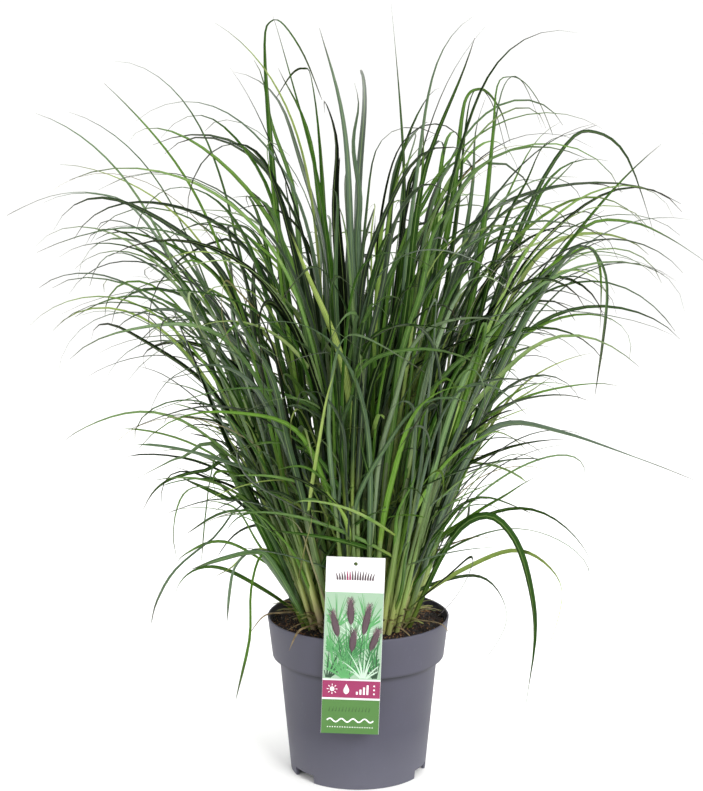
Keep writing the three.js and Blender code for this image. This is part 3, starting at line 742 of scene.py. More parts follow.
# More leaves in the same form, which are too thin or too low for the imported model
SIDE_LEAVES = [
    (0, 7.5, [
        (47, 20, 188), (89, 28, 557), (115, 34, 707), (126, 38, 815), (134, 42, 845),
        (147, 44, 852), (157, 46, 849), (168, 48, 837), (178, 50, 818), (187, 50, 786),
    ]),
    (7, 7.5, [
        (52, -20, 188), (117, -40, 505), (145, -50, 654), (158, -56, 790), (162, -60, 855),
        (176, -62, 866), (193, -64, 859), (211, -66, 834), (226, -66, 799),
    ]),
    (0, 6.5, [(51, 30, 188), (103, 50, 490), (139, 60, 706), (145, 66, 798), (158, 72, 842)]),
    (1, 9, [(34, 10, 188), (58, 20, 470), (67, 26, 644), (78, 30, 742), (80, 30, 809), (83, 30, 823)]),
    (7, 6, [
        (58, -20, 188), (123, -40, 480), (167, -60, 676), (197, -70, 744), (217, -76, 789),
        (251, -80, 802), (276, -84, 811),
    ]),
    (7, 8, [
        (59, -10, 188), (100, -30, 429), (170, -50, 567), (223, -60, 639), (258, -64, 663),
        (276, -66, 665), (286, -66, 635), (287, -66, 558),
    ]),
    (4, 7.5, [(-66, -34, 188), (-130, -70, 353), (-156, -84, 366), (-189, -96, 387), (-215, -104, 402)]),
    (4, 6, [
        (-62, -24, 188), (-144, -60, 373), (-166, -84, 422), (-177, -90, 392), (-181, -96, 359),
        (-189, -102, 296),
    ]),
    (5, 7, [
        (-60, -36, 188), (-126, -70, 353), (-174, -84, 319), (-219, -104, 285), (-241, -112, 250),
        (-248, -116, 223),
    ]),
    (5, 8, [(-58, -42, 188), (-106, -66, 284), (-127, -74, 298), (-166, -88, 293), (-202, -100, 285)]),
    (5, 6.5, [
        (-56, -42, 188), (-114, -60, 286), (-132, -66, 296), (-149, -74, 279), (-155, -78, 253),
        (-160, -80, 212),
    ]),
    (4, 5, [
        (-62, -16, 188), (-145, -40, 390), (-186, -56, 397), (-227, -60, 387), (-250, -64, 369),
        (-267, -64, 337),
    ]),
    (5, 6, [(-60, -34, 188), (-117, -70, 338), (-142, -84, 352), (-169, -96, 350), (-206, -104, 330)]),
    (4, 6, [(-62, -14, 188), (-163, -30, 410), (-214, -40, 410), (-241, -50, 401), (-279, -50, 380)]),
]

# angle in degrees, width, distances out and heights
DRY_LEAVES = [
    (232, 6, [(55, 186), (74, 203), (94, 206), (118, 205), (136, 186)]),
    (213, 5, [(60, 186), (78, 200), (96, 198), (107, 194)]),
    (193, 6, [(56, 186), (76, 204), (98, 207), (121, 204), (142, 179)]),
    (307, 5, [(60, 186), (78, 201), (97, 199), (108, 194)]),
    (329, 6, [(57, 186), (76, 202), (97, 205), (120, 204), (133, 190)]),
    (12, 5, [(60, 186), (80, 201), (98, 200), (108, 195)]),
    (84, 6, [(58, 186), (77, 203), (97, 206), (120, 204), (137, 184)]),
]


def smooth_line(points, steps):
    """A smooth curve through points, with a few steps from each to the next."""
    line = []
    for i in range(len(points) - 1):
        a, b, c, d = (Vector(points[clamp(i + k, 0, len(points) - 1)]) for k in (-1, 0, 1, 2))
        square = 2 * a - 5 * b + 4 * c - d
        cube = 3 * b - a - 3 * c + d
        for step in range(steps):
            t = step / steps
            line.append(0.5 * (2 * b + (c - a) * t + square * t**2 + cube * t**3))
    line.append(Vector(points[-1]))
    return line


print(len(LONG_LEAVES), "long,", len(SIDE_LEAVES), "side and", len(DRY_LEAVES), "dry leaves set by hand")

# %% [markdown]
# ## Sweeping blades
#
# A leaf blade is the same small section swept along a line: wide, thin and folded into a shallow
# V. Geometry Nodes do that well. Each tuft starts as bare lines whose points carry the leaf's half
# width, the way across it, and its place along the leaf. The tree turns them into curves, and sweeps
# a closed section along them. The section is scaled by the half width, so it thins out to the tip.
# The numbers that the section stores across itself let the material draw midrib and veins.

# %% Blade tree
def tree_with_inputs(name, sockets):
    """Starts a Geometry Nodes tree with a geometry in and out and named inputs."""
    tree = bpy.data.node_groups.new(name, "GeometryNodeTree")
    for way in ("INPUT", "OUTPUT"):
        tree.interface.new_socket("Geometry", in_out=way, socket_type="NodeSocketGeometry")
    for label, kind in sockets:
        tree.interface.new_socket(label, in_out="INPUT", socket_type="NodeSocket" + kind)
    return tree, add_node(tree, "NodeGroupInput", output=None).outputs


def make_sweep_tree():
    """Sweeps a thin folded section along every line of a mesh."""
    sockets = [("Section points", "Int"), ("Fold", "Float"), ("Thickness", "Float"), ("Material", "Material")]
    tree, given = tree_with_inputs("sweep along lines", sockets)
    circle_sizes = {"Resolution": given["Section points"], "Radius": 1.0}
    section = add_node(tree, "GeometryNodeCurvePrimitiveCircle", circle_sizes)
    place = add_node(tree, "GeometryNodeInputPosition")
    across = add_node(tree, "ShaderNodeSeparateXYZ", {0: place}, "X")
    above = add_node(tree, "ShaderNodeSeparateXYZ", {0: place}, "Y")
    for name, value in (("across", across), ("above", above)):
        stored = {"Geometry": section, "Name": name, "Value": value}
        section = add_node(
            tree, "GeometryNodeStoreNamedAttribute", stored, data_type="FLOAT", domain="POINT"
        )
    middle = add_node(tree, "ShaderNodeMath", {0: across}, operation="ABSOLUTE")
    fold = add_node(tree, "ShaderNodeMath", {0: given["Fold"], 1: middle}, operation="MULTIPLY")
    lifted = {0: above, 1: given["Thickness"], 2: fold}
    height = add_node(tree, "ShaderNodeMath", lifted, operation="MULTIPLY_ADD")
    folded = add_node(tree, "ShaderNodeCombineXYZ", {"X": across, "Y": height, "Z": 0.0})
    section = add_node(tree, "GeometryNodeSetPosition", {"Geometry": section, "Position": folded})
    lines = add_node(tree, "GeometryNodeMeshToCurve", {"Mesh": given["Geometry"]})
    ways, half_widths = (
        add_node(tree, "GeometryNodeInputNamedAttribute", {"Name": name}, "Attribute", data_type=kind)
        for name, kind in (("across_way", "FLOAT_VECTOR"), ("half_width", "FLOAT"))
    )
    turned = add_node(tree, "GeometryNodeSetCurveNormal", {"Curve": lines, "Normal": ways}, mode="FREE")
    sweep = {"Curve": turned, "Profile Curve": section, "Scale": half_widths, "Fill Caps": True}
    swept = add_node(tree, "GeometryNodeCurveToMesh", sweep)
    smooth = add_node(tree, "GeometryNodeSetShadeSmooth", {0: swept})
    real = add_node(tree, "GeometryNodeRealizeInstances", {0: smooth})
    painted = add_node(tree, "GeometryNodeSetMaterial", {"Geometry": real, "Material": given["Material"]})
    add_node(tree, "NodeGroupOutput", {0: painted}, output=None)
    return tree


sweep_tree = make_sweep_tree()
print("sweep tree:", len(sweep_tree.nodes), "nodes")

# %% Lines that carry a leaf's sizes
def across_ways(points, shares, face_angle, twist, lateness=1.0):
    """The way across the leaf at each point: level at the foot, then carried along and twisted."""
    across = Vector((math.cos(face_angle), math.sin(face_angle), 0))
    ways = []
    for i, share in enumerate(shares):
        way = (points[min(len(points) - 1, i + 1)] - points[max(0, i - 1)]).normalized()
        across = (across - way * across.dot(way)).normalized()
        ways.append(Quaternion(way, twist * share**lateness) @ across)
    return ways


def shares_of(points):
    """How far along its line each point is, from 0 to 1."""
    lengths = [0.0]
    for before, after in zip(points, points[1:]):
        lengths.append(lengths[-1] + (after - before).length)
    return [length / lengths[-1] for length in lengths]


def set_modifier(piece, tree, values):
    """Adds a Geometry Nodes modifier and sets its inputs by their identifiers."""
    modifier = piece.modifiers.new(tree.name, "NODES")
    modifier.node_group = tree
    for item in tree.interface.items_tree:
        if item.item_type == "SOCKET" and item.in_out == "INPUT" and item.name in values:
            modifier[item.identifier] = values[item.name]
    return modifier


def mark_points(piece, name, values):
    """Stores a number on each point of a piece's mesh."""
    piece.data.attributes.new(name, "FLOAT", "POINT").data.foreach_set("value", values)


def sweep_piece(name, lines, material, section):
    """Makes one piece of swept lines. Each line has points, shares, ways, widths and a few numbers."""
    vertices = []
    edges = []
    ways = []
    columns = {"half_width": [], "along": [], "tint": [], "dryness": [], "wax": []}
    for line in lines:
        start = len(vertices)
        vertices.extend(point * MM for point in line["points"])
        edges.extend((i, i + 1) for i in range(start, len(vertices) - 1))
        ways.extend(number for way in line["ways"] for number in way)
        columns["half_width"].extend(width / 2 * MM for width in line["widths"])
        columns["along"].extend(line["shares"])
        for label in ("tint", "dryness", "wax"):
            columns[label].extend([line.get(label, 0.0)] * len(line["points"]))
    piece = place_mesh(name, vertices, [], edges=edges)
    for label, values in columns.items():
        mark_points(piece, label, values)
    across_way = piece.data.attributes.new("across_way", "FLOAT_VECTOR", "POINT")
    across_way.data.foreach_set("vector", ways)
    set_modifier(piece, sweep_tree, {**section, "Material": material})
    return settle(piece)


straight = [Vector((0, 0, height)) for height in (0, 25, 100)]
print("shares along a line of three points:", shares_of(straight))

# %% [markdown]
# ## Leaf surface
#
# A fresh grass leaf is satin, not glossy: a thin wax layer over fine ribs that run its whole length.
# The midrib is paler than the rest. The underside is duller and greyer. Older leaves are darker, and
# young ones in the middle are yellow-green. The foot of a leaf is pale where it wrapped the shoot,
# and the last stretch of the tip dries to purple-brown first. Veins on a leaf 6 mm wide are about
# 0.3 mm apart, which is too fine to show at this distance, so they are drawn some four times as wide.

# %% Leaf material
VEINS_ACROSS = 5.0
LEAF_MOTTLE = 22.0
LEAF_GREENS = [
    (0.0, "#070d03"), (0.3, "#112308"), (0.56, "#355a18"), (0.82, "#688f36"), (1.0, "#a6b866"),
]


def read_numbers(tree, *names):
    """Reads numbers that the mesh carries in a material."""
    return [add_node(tree, "ShaderNodeAttribute", output="Fac", attribute_name=name) for name in names]


def ribs_across(tree, count):
    """A wave across the leaf, with a number of half waves from its middle to each edge."""
    (across,) = read_numbers(tree, "across")
    angle = add_node(tree, "ShaderNodeMath", {0: across, 1: count * math.pi}, operation="MULTIPLY")
    return add_node(tree, "ShaderNodeMath", {0: angle}, operation="SINE")


def make_leaf_material():
    """Fresh grass leaf with veins, midrib, paler foot and browning tip."""
    material, tree, shader = new_material("fresh grass leaf")
    names = ("along", "across", "above", "tint", "dryness", "wax")
    along, across, above, tint, dryness, wax = read_numbers(tree, *names)
    place = add_node(tree, "ShaderNodeTexCoord", output="Object")
    mottle = add_node(
        tree, "ShaderNodeTexNoise", {"Vector": place, "Scale": 1 / (LEAF_MOTTLE * MM), "Detail": 2.0}
    )
    uneven = add_node(tree, "ShaderNodeMath", {0: mottle, 1: 0.5}, operation="SUBTRACT")
    shade = add_node(tree, "ShaderNodeMath", {0: uneven, 1: 0.25, 2: tint}, operation="MULTIPLY_ADD")
    green = add_node(tree, "ShaderNodeValToRGB", {"Fac": shade}, stops=LEAF_GREENS)
    below = add_node(tree, "ShaderNodeMapRange", {0: above, 1: 0.2, 2: -0.2, 3: 0.35, 4: 0.9})
    bloom = add_node(tree, "ShaderNodeMath", {0: below, 1: wax}, operation="MULTIPLY")
    green = layered(tree, green, [(bloom, "#566e54")])
    veins = ribs_across(tree, VEINS_ACROSS)
    groove = add_node(tree, "ShaderNodeMapRange", {0: veins, 1: 1.0, 2: -1.0, 3: 0.0, 4: 0.75})
    grooved = {0: groove, 6: green, 7: "#939c88"}
    green = add_node(tree, "ShaderNodeMix", grooved, 2, data_type="RGBA", blend_type="MULTIPLY")
    middle = add_node(tree, "ShaderNodeMath", {0: across}, operation="ABSOLUTE")
    midrib = add_node(tree, "ShaderNodeMapRange", {0: middle, 1: 0.16, 2: 0.02, 3: 0.0, 4: 0.45})
    foot = add_node(tree, "ShaderNodeMapRange", {0: along, 1: 0.16, 2: 0.0, 3: 0.0, 4: 0.75})
    dry_start = add_node(tree, "ShaderNodeMath", {0: mottle, 1: 0.16, 2: 0.78}, operation="MULTIPLY_ADD")
    tip = add_node(tree, "ShaderNodeMapRange", {0: along, 1: dry_start, 2: 1.0, 3: 0.0, 4: 0.85})
    layers = [(midrib, "#86a05c"), (foot, "#7d9040"), (tip, "#2c211f"), (dryness, "#857a52")]
    finish = {
        "Base Color": layered(tree, green, layers),
        "Specular IOR Level": add_node(tree, "ShaderNodeMapRange", {0: wax, 3: 0.04, 4: 0.75}),
        "Roughness": 0.35,
        "Normal": add_node(tree, "ShaderNodeBump", {"Height": veins, "Strength": 0.5, "Distance": 0.00015}),
    }
    fill_inputs(tree, shader, finish)
    return material


leaf_material = make_leaf_material()
print("material:", leaf_material.name)

# %% [markdown]
# ## Leaves of each tuft
#
# The main leaves come first, and then the listed ones. Between them grow thinner shoots with
# narrower leaves, drawn by the same rule from other seeds. They stop a little short of the packed
# model's sides and top, and most of those that would spread low are left out, because the clump
# has a waist. A few have a sharp fold, where wind or handling has creased them. Short leaves stand
# off the shoots and cross the others. All leaves wander a few millimetres from their line, because
# no leaf is as even as a formula.

# %% One leaf
LEAF_SECTION = {"Section points": 8, "Fold": 0.45, "Thickness": 0.07}
WANDER = 7.0
WANDER_TURNS = (1.2, 2.8)
WANDER_GROWTH = 1.5
TAPER_SHARE = 0.36
TIP_WIDTH = 1.2
TIP_END = 0.4
BOX_MARGIN = 1.2
# share of the leaves that are dry, how dry they are and how much of their width is left
DRY_SHARE = 0.03
DRYNESS = (0.5, 1.0)
DRY_WIDTH = 0.45
WAX_RARITY = 2.6


def wander(points, shares, ways, random, size):
    """Moves a line gently to both sides, more towards its tip."""
    turns = within(WANDER_TURNS, random)
    phase = 2 * math.pi * random()
    moved = []
    for point, share, way in zip(points, shares, ways):
        push = size * share**WANDER_GROWTH * math.sin(2 * math.pi * turns * share + phase)
        moved.append(point + way * push)
    return moved


def kept_inside(point):
    """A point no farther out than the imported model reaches."""
    kept = []
    for value, low, high in zip(point, frame_box[0], frame_box[1]):
        kept.append(clamp(value, low / MM + BOX_MARGIN, high / MM - BOX_MARGIN))
    return Vector(kept)


def leaf_of(points, shares, width, face_angle, twist, tint, random, size=WANDER, lateness=1.0):
    """Everything that the sweep needs to know about one leaf."""
    ways = across_ways(points, shares, face_angle, twist, lateness)
    taper = lateness**TAPER_SHARE
    widths = [max(TIP_WIDTH, leaf_width(width, share**taper)) for share in shares]
    widths[-1] = TIP_END
    moved = [kept_inside(point) for point in wander(points, shares, ways, random, size)]
    wax = random() ** WAX_RARITY
    dryness = within(DRYNESS, random) if random() < DRY_SHARE else 0.0
    if dryness:
        widths = [DRY_WIDTH * width for width in widths]
    return {
        "points": moved, "shares": shares, "ways": ways, "widths": widths,
        "tint": tint, "wax": wax, "dryness": dryness,
    }


print("leaves wander by up to", WANDER, "mm")

# %% Main leaves
PAINT_SEED = SEED + 500
MAIN_STEP = 2
KEPT_STEPS = [*range(0, LEAF_STEPS, MAIN_STEP), LEAF_STEPS]
KEPT_SHARES = [step / LEAF_STEPS for step in KEPT_STEPS]


def facing(tiller):
    """The angle of the way across a shoot's leaves, which lie flat at their foot."""
    return slice_angle(tiller["tuft"]) + tiller["offset"] + math.pi / 2


def main_leaves(tuft):
    """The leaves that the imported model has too, with their shoots."""
    random = make_random(SEED + tuft)
    paint = make_random(PAINT_SEED + tuft)
    leaves = []
    tillers = []
    for spot in TILLER_SPOTS:
        tiller = grow_tiller(tuft, spot, random)
        starts = []
        for kind in LEAF_KINDS:
            leaf = grow_leaf(tiller, kind, random)
            line = limited_line(tiller, leaf)
            points = [line[step] for step in KEPT_STEPS]
            width, twist = leaf["width"], leaf["twist"]
            leaves.append(leaf_of(points, KEPT_SHARES, width, facing(tiller), twist, paint(), paint))
            starts.append(leaf["start"])
        tillers.append((tiller, starts))
    return leaves, tillers


print("a main leaf has", len(KEPT_STEPS), "points")

# %% Leaves along the listed lines
HAND_SEED = SEED + 600
HAND_STEPS = 4
HAND_TINT = (0.3, 0.8)
HAND_FACE_STRAY = 1.1
HAND_WIDTH_SHARE = 1.2
HAND_TWIST = 1.9
HAND_LATENESS = 5.0
HAND_WANDER = 1.0


def long_leaves(tuft):
    """The listed leaves that grow from this tuft."""
    paint = make_random(HAND_SEED + tuft)
    leaves = []
    for owner, width, points in LONG_LEAVES + SIDE_LEAVES:
        if owner == tuft:
            line = smooth_line(points, HAND_STEPS)
            tint = within(HAND_TINT, paint)
            turned = (stray(HAND_FACE_STRAY, paint), HAND_TWIST)
            broad = HAND_WIDTH_SHARE * width
            held = (HAND_WANDER, HAND_LATENESS)
            leaves.append(leaf_of(line, shares_of(line), broad, *turned, tint, paint, *held))
    return leaves


print(sum(len(long_leaves(tuft)) for tuft in range(TUFT_COUNT)), "leaves set by hand")

# %% Where thin leaves are missing
FINE_REACH_LIMIT = 390.0
FINE_HEIGHT_LIMIT = 905.0
# the clump parts a little left of its middle, above a height, and its shoulders are lower
PARTING = (-90, 0)
PARTING_HEIGHT = 700
PARTING_SHARE = 0.6
SHOULDER_START = 60
SHOULDER_SLOPE = 0.46
# thin leaves that reach far out are rarer
EDGE_START = 285
EDGE_SHARE = 0.42
# the clump is narrower below this height
WAIST_HEIGHT = 400
WAIST_REACH = 250
WAIST_SHARE = 0.75
# distances from the axis and heights that the pot's rim takes up, with a margin
RIM_ZONE = (97, 121)
RIM_ZONE_TOP = 206
# the label's front, where no leaf may come between it and the eye
LABEL_MIDDLE = -7.0
LABEL_HALF_WIDTH = 40.0
LABEL_FRONT = -100.0
LABEL_TOP = 310.0
SIGHT_SLOPE = 0.27


def covers_label(points):
    """Whether a leaf would cross the label or hang in front of it."""
    for point in points:
        beside = abs(point.x - LABEL_MIDDLE) > LABEL_HALF_WIDTH
        above = point.z > LABEL_TOP + SIGHT_SLOPE * (LABEL_FRONT - point.y)
        if point.y < LABEL_FRONT and not beside and not above:
            return True
    return False


def meets_rim(line):
    """Whether a leaf would run through the pot's rim."""
    low = [math.hypot(point.x, point.y) for point in line if point.z < RIM_ZONE_TOP]
    return any(RIM_ZONE[0] < reach < RIM_ZONE[1] for reach in low)


def spreads_low(point):
    """Whether a point is outside the clump's waist, which widens with height."""
    return math.hypot(point.x, point.y) > WAIST_REACH + max(0, point.z - WAIST_HEIGHT)


def left_out(line, random):
    """Whether a thin leaf is missing: at the parting, over a shoulder, far out, low down or in the rim."""
    top = max(line, key=lambda point: point.z)
    chance = random()
    widest = max(math.hypot(point.x, point.y) for point in line)
    parted = PARTING[0] < top.x < PARTING[1] and top.z > PARTING_HEIGHT and chance < PARTING_SHARE
    outwards = max(0, math.hypot(top.x, top.y) - SHOULDER_START)
    too_tall = top.z > FINE_HEIGHT_LIMIT - SHOULDER_SLOPE * outwards
    too_wide = widest > EDGE_START and random() < EDGE_SHARE
    too_low = chance < WAIST_SHARE and any(spreads_low(point) for point in line)
    return parted or too_tall or too_wide or too_low or meets_rim(line)


print("a point 300 mm out and 420 mm up spreads low:", spreads_low(Vector((300, 0, 420))))

# %% Thinner leaves
FINE_SEED = SEED + 2100
# thin shoots of each tuft, from the right round by the back and the front
FINE_SHOOTS = [9, 9, 8, 10, 8, 10, 11, 10]
FINE_REACH = (16, 68)
FINE_SIDE = 1.8
FINE_SHORTER = 0.9
# the same four numbers as for the main leaves
FINE_KINDS = [
    (0.06, 330, 22, 4.0), (0.2, 520, 12, 4.8), (0.36, 640, 8, 5.6), (0.52, 730, 6, 6.2),
    (0.68, 790, 4, 6.2), (0.82, 840, 3, 5.6), (0.95, 880, 2, 4.8),
]
FINE_POWER = (1.4, 4.8)
FINE_LEAST_DROOP = 118
FINE_TURN_LIMIT = 172
FINE_TWIST = 2.0
FINE_SPIN = 2.8
SWING = 1.6
FOLD_CHANCE = 0.45
FOLD_PLACE = (0.55, 0.85)
FOLD_ANGLE = (40, 110)
# the lowest leaf of the first shoots arches over
ARCHES = 9
ARCH_KIND = (0.1, 400, 22, 4.4)
ARCH_WIDTH = (4.4, 7.4)
ARCH_LEAN = (26, 52)
ARCH_DROOP = (95, 150)
ARCH_LENGTH = (190, 390)


def grow_fine_shoot(tuft, random):
    """A thinner shoot anywhere in the slice."""
    reach = lerp(*FINE_REACH, math.sqrt(random()))
    tiller = grow_tiller(tuft, (reach, stray(FINE_SIDE, random)), random)
    tiller["length"] *= FINE_SHORTER
    return tiller


def grow_arch(tiller, random):
    """A low leaf that arches over and hangs beside the pot."""
    leaf = grow_leaf(tiller, ARCH_KIND, random)
    leaf["lean"] = max(leaf["lean"], math.radians(within(ARCH_LEAN, random)))
    leaf["droop"] = math.radians(within(ARCH_DROOP, random))
    leaf["width"] = within(ARCH_WIDTH, random)
    leaf["length"] = within(ARCH_LENGTH, random)
    return leaf


def loosen(leaf, random):
    """Gives a thin leaf more swing, droop and twist, and now and then a sharp fold."""
    leaf["swing"] = stray(SWING, random)
    leaf["power"] = within(FINE_POWER, random)
    leaf["twist"] *= FINE_TWIST
    most = math.radians(FINE_TURN_LIMIT) - leaf["lean"]
    leaf["droop"] = min(max(leaf["droop"], math.radians(FINE_LEAST_DROOP)), most)
    fold_place = within(FOLD_PLACE, random)
    fold_angle = math.radians(within(FOLD_ANGLE, random))
    if random() < FOLD_CHANCE and fold_angle < most - leaf["droop"]:
        leaf["fold"] = (fold_place, fold_angle)


def fine_leaves(tuft):
    """Thinner leaves between the main ones, with their shoots."""
    random = make_random(FINE_SEED + tuft)
    leaves = []
    tillers = []
    for shoot in range(FINE_SHOOTS[tuft]):
        tiller = grow_fine_shoot(tuft, random)
        grown = [grow_leaf(tiller, kind, random) for kind in FINE_KINDS]
        if shoot < ARCHES:
            grown[0] = grow_arch(tiller, random)
        for leaf in grown:
            loosen(leaf, random)
            line = limited_line(tiller, leaf, FINE_REACH_LIMIT, FINE_HEIGHT_LIMIT)
            if covers_label(line) or left_out(line, random):
                continue
            points = [line[step] for step in KEPT_STEPS]
            face_angle = facing(tiller) + stray(FINE_SPIN, random)
            width, twist = leaf["width"], leaf["twist"]
            leaves.append(leaf_of(points, KEPT_SHARES, width, face_angle, twist, random(), random))
        tillers.append((tiller, [leaf["start"] for leaf in grown]))
    return leaves, tillers


print(sum(FINE_SHOOTS), "thin shoots with", len(FINE_KINDS), "leaves each")

# %% Crossing leaves
CROSS_SEED = SEED + 300
CROSS_LEAVES = 20
CROSS_STEPS = 16
CROSS_START = (30, 290)
CROSS_HIGHEST = 0.9
CROSS_SPREAD = 4.2
CROSS_LEAN = (18, 66)
CROSS_DROOP = (5, 60)
CROSS_POWER = 1.7
CROSS_LENGTH = (120, 280)
CROSS_WIDTH = (4.2, 7.6)
CROSS_TWIST = 0.8
CROSS_WANDER = 1.5
# some have lost their tip, and end after this share of their length
CUT_CHANCE = 0.3
CUT_SHARE = 0.72


def cross_line(start, azimuth, lean, droop, length):
    """The line of a short leaf that bows over towards its own direction."""
    outward = Vector((math.cos(azimuth), math.sin(azimuth), 0))
    points = [start]
    for step in range(CROSS_STEPS):
        turn = lean + droop * ((step + 0.5) / CROSS_STEPS) ** CROSS_POWER
        way = outward * math.sin(turn) + Vector((0, 0, math.cos(turn)))
        points.append(points[-1] + way * length / CROSS_STEPS)
    return points


def cross_leaves(tuft, tillers):
    """Short leaves of a tuft that point in many directions."""
    random = make_random(CROSS_SEED + tuft)
    leaves = []
    for _ in range(CROSS_LEAVES):
        end = CUT_SHARE if random() < CUT_CHANCE else 1.0
        shares = [end * step / CROSS_STEPS for step in range(CROSS_STEPS + 1)]
        tiller = tillers[int(random() * len(tillers))][0]
        start = min(within(CROSS_START, random), CROSS_HIGHEST * tiller["length"])
        reach = tiller["reach"] + start * math.sin(tiller["lean"])
        height = TILLER_FOOT + start * math.cos(tiller["lean"])
        foot = slice_point(tuft, reach, tiller["offset"], height)
        azimuth = slice_angle(tuft) + stray(CROSS_SPREAD, random)
        lean = math.radians(within(CROSS_LEAN, random))
        droop = math.radians(within(CROSS_DROOP, random))
        line = cross_line(foot, azimuth, lean, droop, within(CROSS_LENGTH, random))
        width = within(CROSS_WIDTH, random)
        turned = (azimuth + math.pi / 2 + stray(FINE_SPIN, random), stray(CROSS_TWIST, random))
        if not covers_label(line) and not meets_rim(line):
            leaves.append(leaf_of(line, shares, width, *turned, random(), random, CROSS_WANDER))
    return leaves


print("up to", CROSS_LEAVES, "crossing leaves in each tuft")

# %% Grow the tufts
main_shoots = []
fine_shoots = []
for tuft in range(TUFT_COUNT):
    leaves, tillers = main_leaves(tuft)
    fine, fine_tillers = fine_leaves(tuft)
    lines = leaves + long_leaves(tuft) + fine + cross_leaves(tuft, tillers + fine_tillers)
    piece = sweep_piece(f"leaves_{tuft + 1}", lines, leaf_material, LEAF_SECTION)
    finish_piece(piece, "grass", f"tuft_{tuft + 1}")
    main_shoots.extend(tillers)
    fine_shoots.extend(fine_tillers)

# %% [markdown]
# ## Shoots and old sheaths
#
# A grass stem is hidden in rolled leaf sheaths. Each sheath ends where its leaf bends away, so the
# shoot gets thinner there by a small step. Out of the light the sheaths stay cream, and fountain
# grasses flush them with pink. Torn sheaths of last year's leaves fill the gaps between the shoots.

# %% Sheath material
SHEATH_RIBS = 6
SHEATH_GREENS = [
    (0.0, "#98846a"), (0.14, "#a0a55e"), (0.4, "#6c8835"), (0.75, "#3d601c"), (1.0, "#284510"),
]
SHEATH_STRAWS = [(0.0, "#2b1f14"), (0.5, "#5e4a2f"), (1.0, "#a58c5f")]


def make_sheath_material():
    """Leaf sheaths: cream and pink at the soil, then yellow-green, ribbed lengthwise."""
    material, tree, shader = new_material("grass sheath")
    along, tint, dryness = read_numbers(tree, "along", "tint", "dryness")
    uneven = add_node(tree, "ShaderNodeMath", {0: tint, 1: 0.5}, operation="SUBTRACT")
    shifted = add_node(tree, "ShaderNodeMath", {0: uneven, 1: 0.3, 2: along}, operation="MULTIPLY_ADD")
    fresh = add_node(tree, "ShaderNodeValToRGB", {"Fac": shifted}, stops=SHEATH_GREENS)
    straw = add_node(tree, "ShaderNodeValToRGB", {"Fac": tint}, stops=SHEATH_STRAWS)
    ribs = ribs_across(tree, SHEATH_RIBS)
    crest = add_node(tree, "ShaderNodeMapRange", {0: ribs, 1: -1.0, 2: 1.0, 3: 0.0, 4: 0.25})
    finish = {
        "Base Color": layered(tree, fresh, [(dryness, straw), (crest, "#b4b68a")]),
        "Roughness": 0.5,
        "Normal": add_node(tree, "ShaderNodeBump", {"Height": ribs, "Strength": 0.4, "Distance": 0.0002}),
    }
    fill_inputs(tree, shader, finish)
    return material


sheath_material = make_sheath_material()
print("material:", sheath_material.name)

# %% Shoots
SHOOT_SEED = SEED + 700
SHOOT_SECTION = {"Section points": 8, "Fold": 0.0, "Thickness": 1.0}
SHOOT_STEPS = 14
SHOOT_ROOT = 8.0
SHOOT_TOP = 0.97
SHEATH_STEP = 0.14
SHEATH_REACH = 26.0
FINE_SHOOT_SCALE = 0.7


def shoot_line(tiller, starts, scale, tint):
    """The line of one shoot from just under the crown up to its top leaf."""
    points = []
    widths = []
    shares = [step / SHOOT_STEPS for step in range(SHOOT_STEPS + 1)]
    for share in shares:
        distance = lerp(-SHOOT_ROOT, tiller["length"] * SHOOT_TOP, share)
        reach = tiller["reach"] + distance * math.sin(tiller["lean"])
        height = TILLER_FOOT + distance * math.cos(tiller["lean"])
        points.append(slice_point(tiller["tuft"], reach, tiller["offset"], height))
        wrapped = any(0 <= start - distance < SHEATH_REACH for start in starts)
        width = 2 * lerp(TILLER_BASE_RADIUS, TILLER_TOP_RADIUS, share) * scale
        widths.append(width * (1 + SHEATH_STEP * wrapped))
    ways = across_ways(points, shares, slice_angle(tiller["tuft"]) + math.pi / 2, 0)
    return {"points": points, "shares": shares, "ways": ways, "widths": widths, "tint": tint}


def grow_shoots():
    """All the shoots of the clump in one piece."""
    random = make_random(SHOOT_SEED)
    lines = []
    for shoots, scale in ((main_shoots, 1.0), (fine_shoots, FINE_SHOOT_SCALE)):
        lines += [shoot_line(tiller, starts, scale, random()) for tiller, starts in shoots]
    return sweep_piece("shoots", lines, sheath_material, SHOOT_SECTION)


finish_piece(grow_shoots(), "grass")

# %% Old sheaths
OLD_SHEATH_SEED = SEED + 800
OLD_SHEATH_COUNT = 420
OLD_SHEATH_SECTION = {"Section points": 6, "Fold": 0.5, "Thickness": 0.12}
OLD_SHEATH_STEPS = 6
# shares of the crown's radius, and how far below its top the sheaths start
OLD_SHEATH_REACH = (0.15, 0.91)
OLD_SHEATH_DEPTH = 4
OLD_SHEATH_LEAN = (6, 30)
OLD_SHEATH_LEAN_SHARE = (0.3, 1.3)
OLD_SHEATH_BEND = 0.5
OLD_SHEATH_LENGTH = (12, 52)
OLD_SHEATH_RARITY = 1.8
OLD_SHEATH_WIDTH = (2.5, 6.5)
OLD_SHEATH_TAPER = 0.75
OLD_SHEATH_SPIN = 2
OLD_SHEATH_DRYNESS = 1.3
# they keep to the colours of a shoot's lowest part
OLD_SHEATH_COLOURS = 0.3


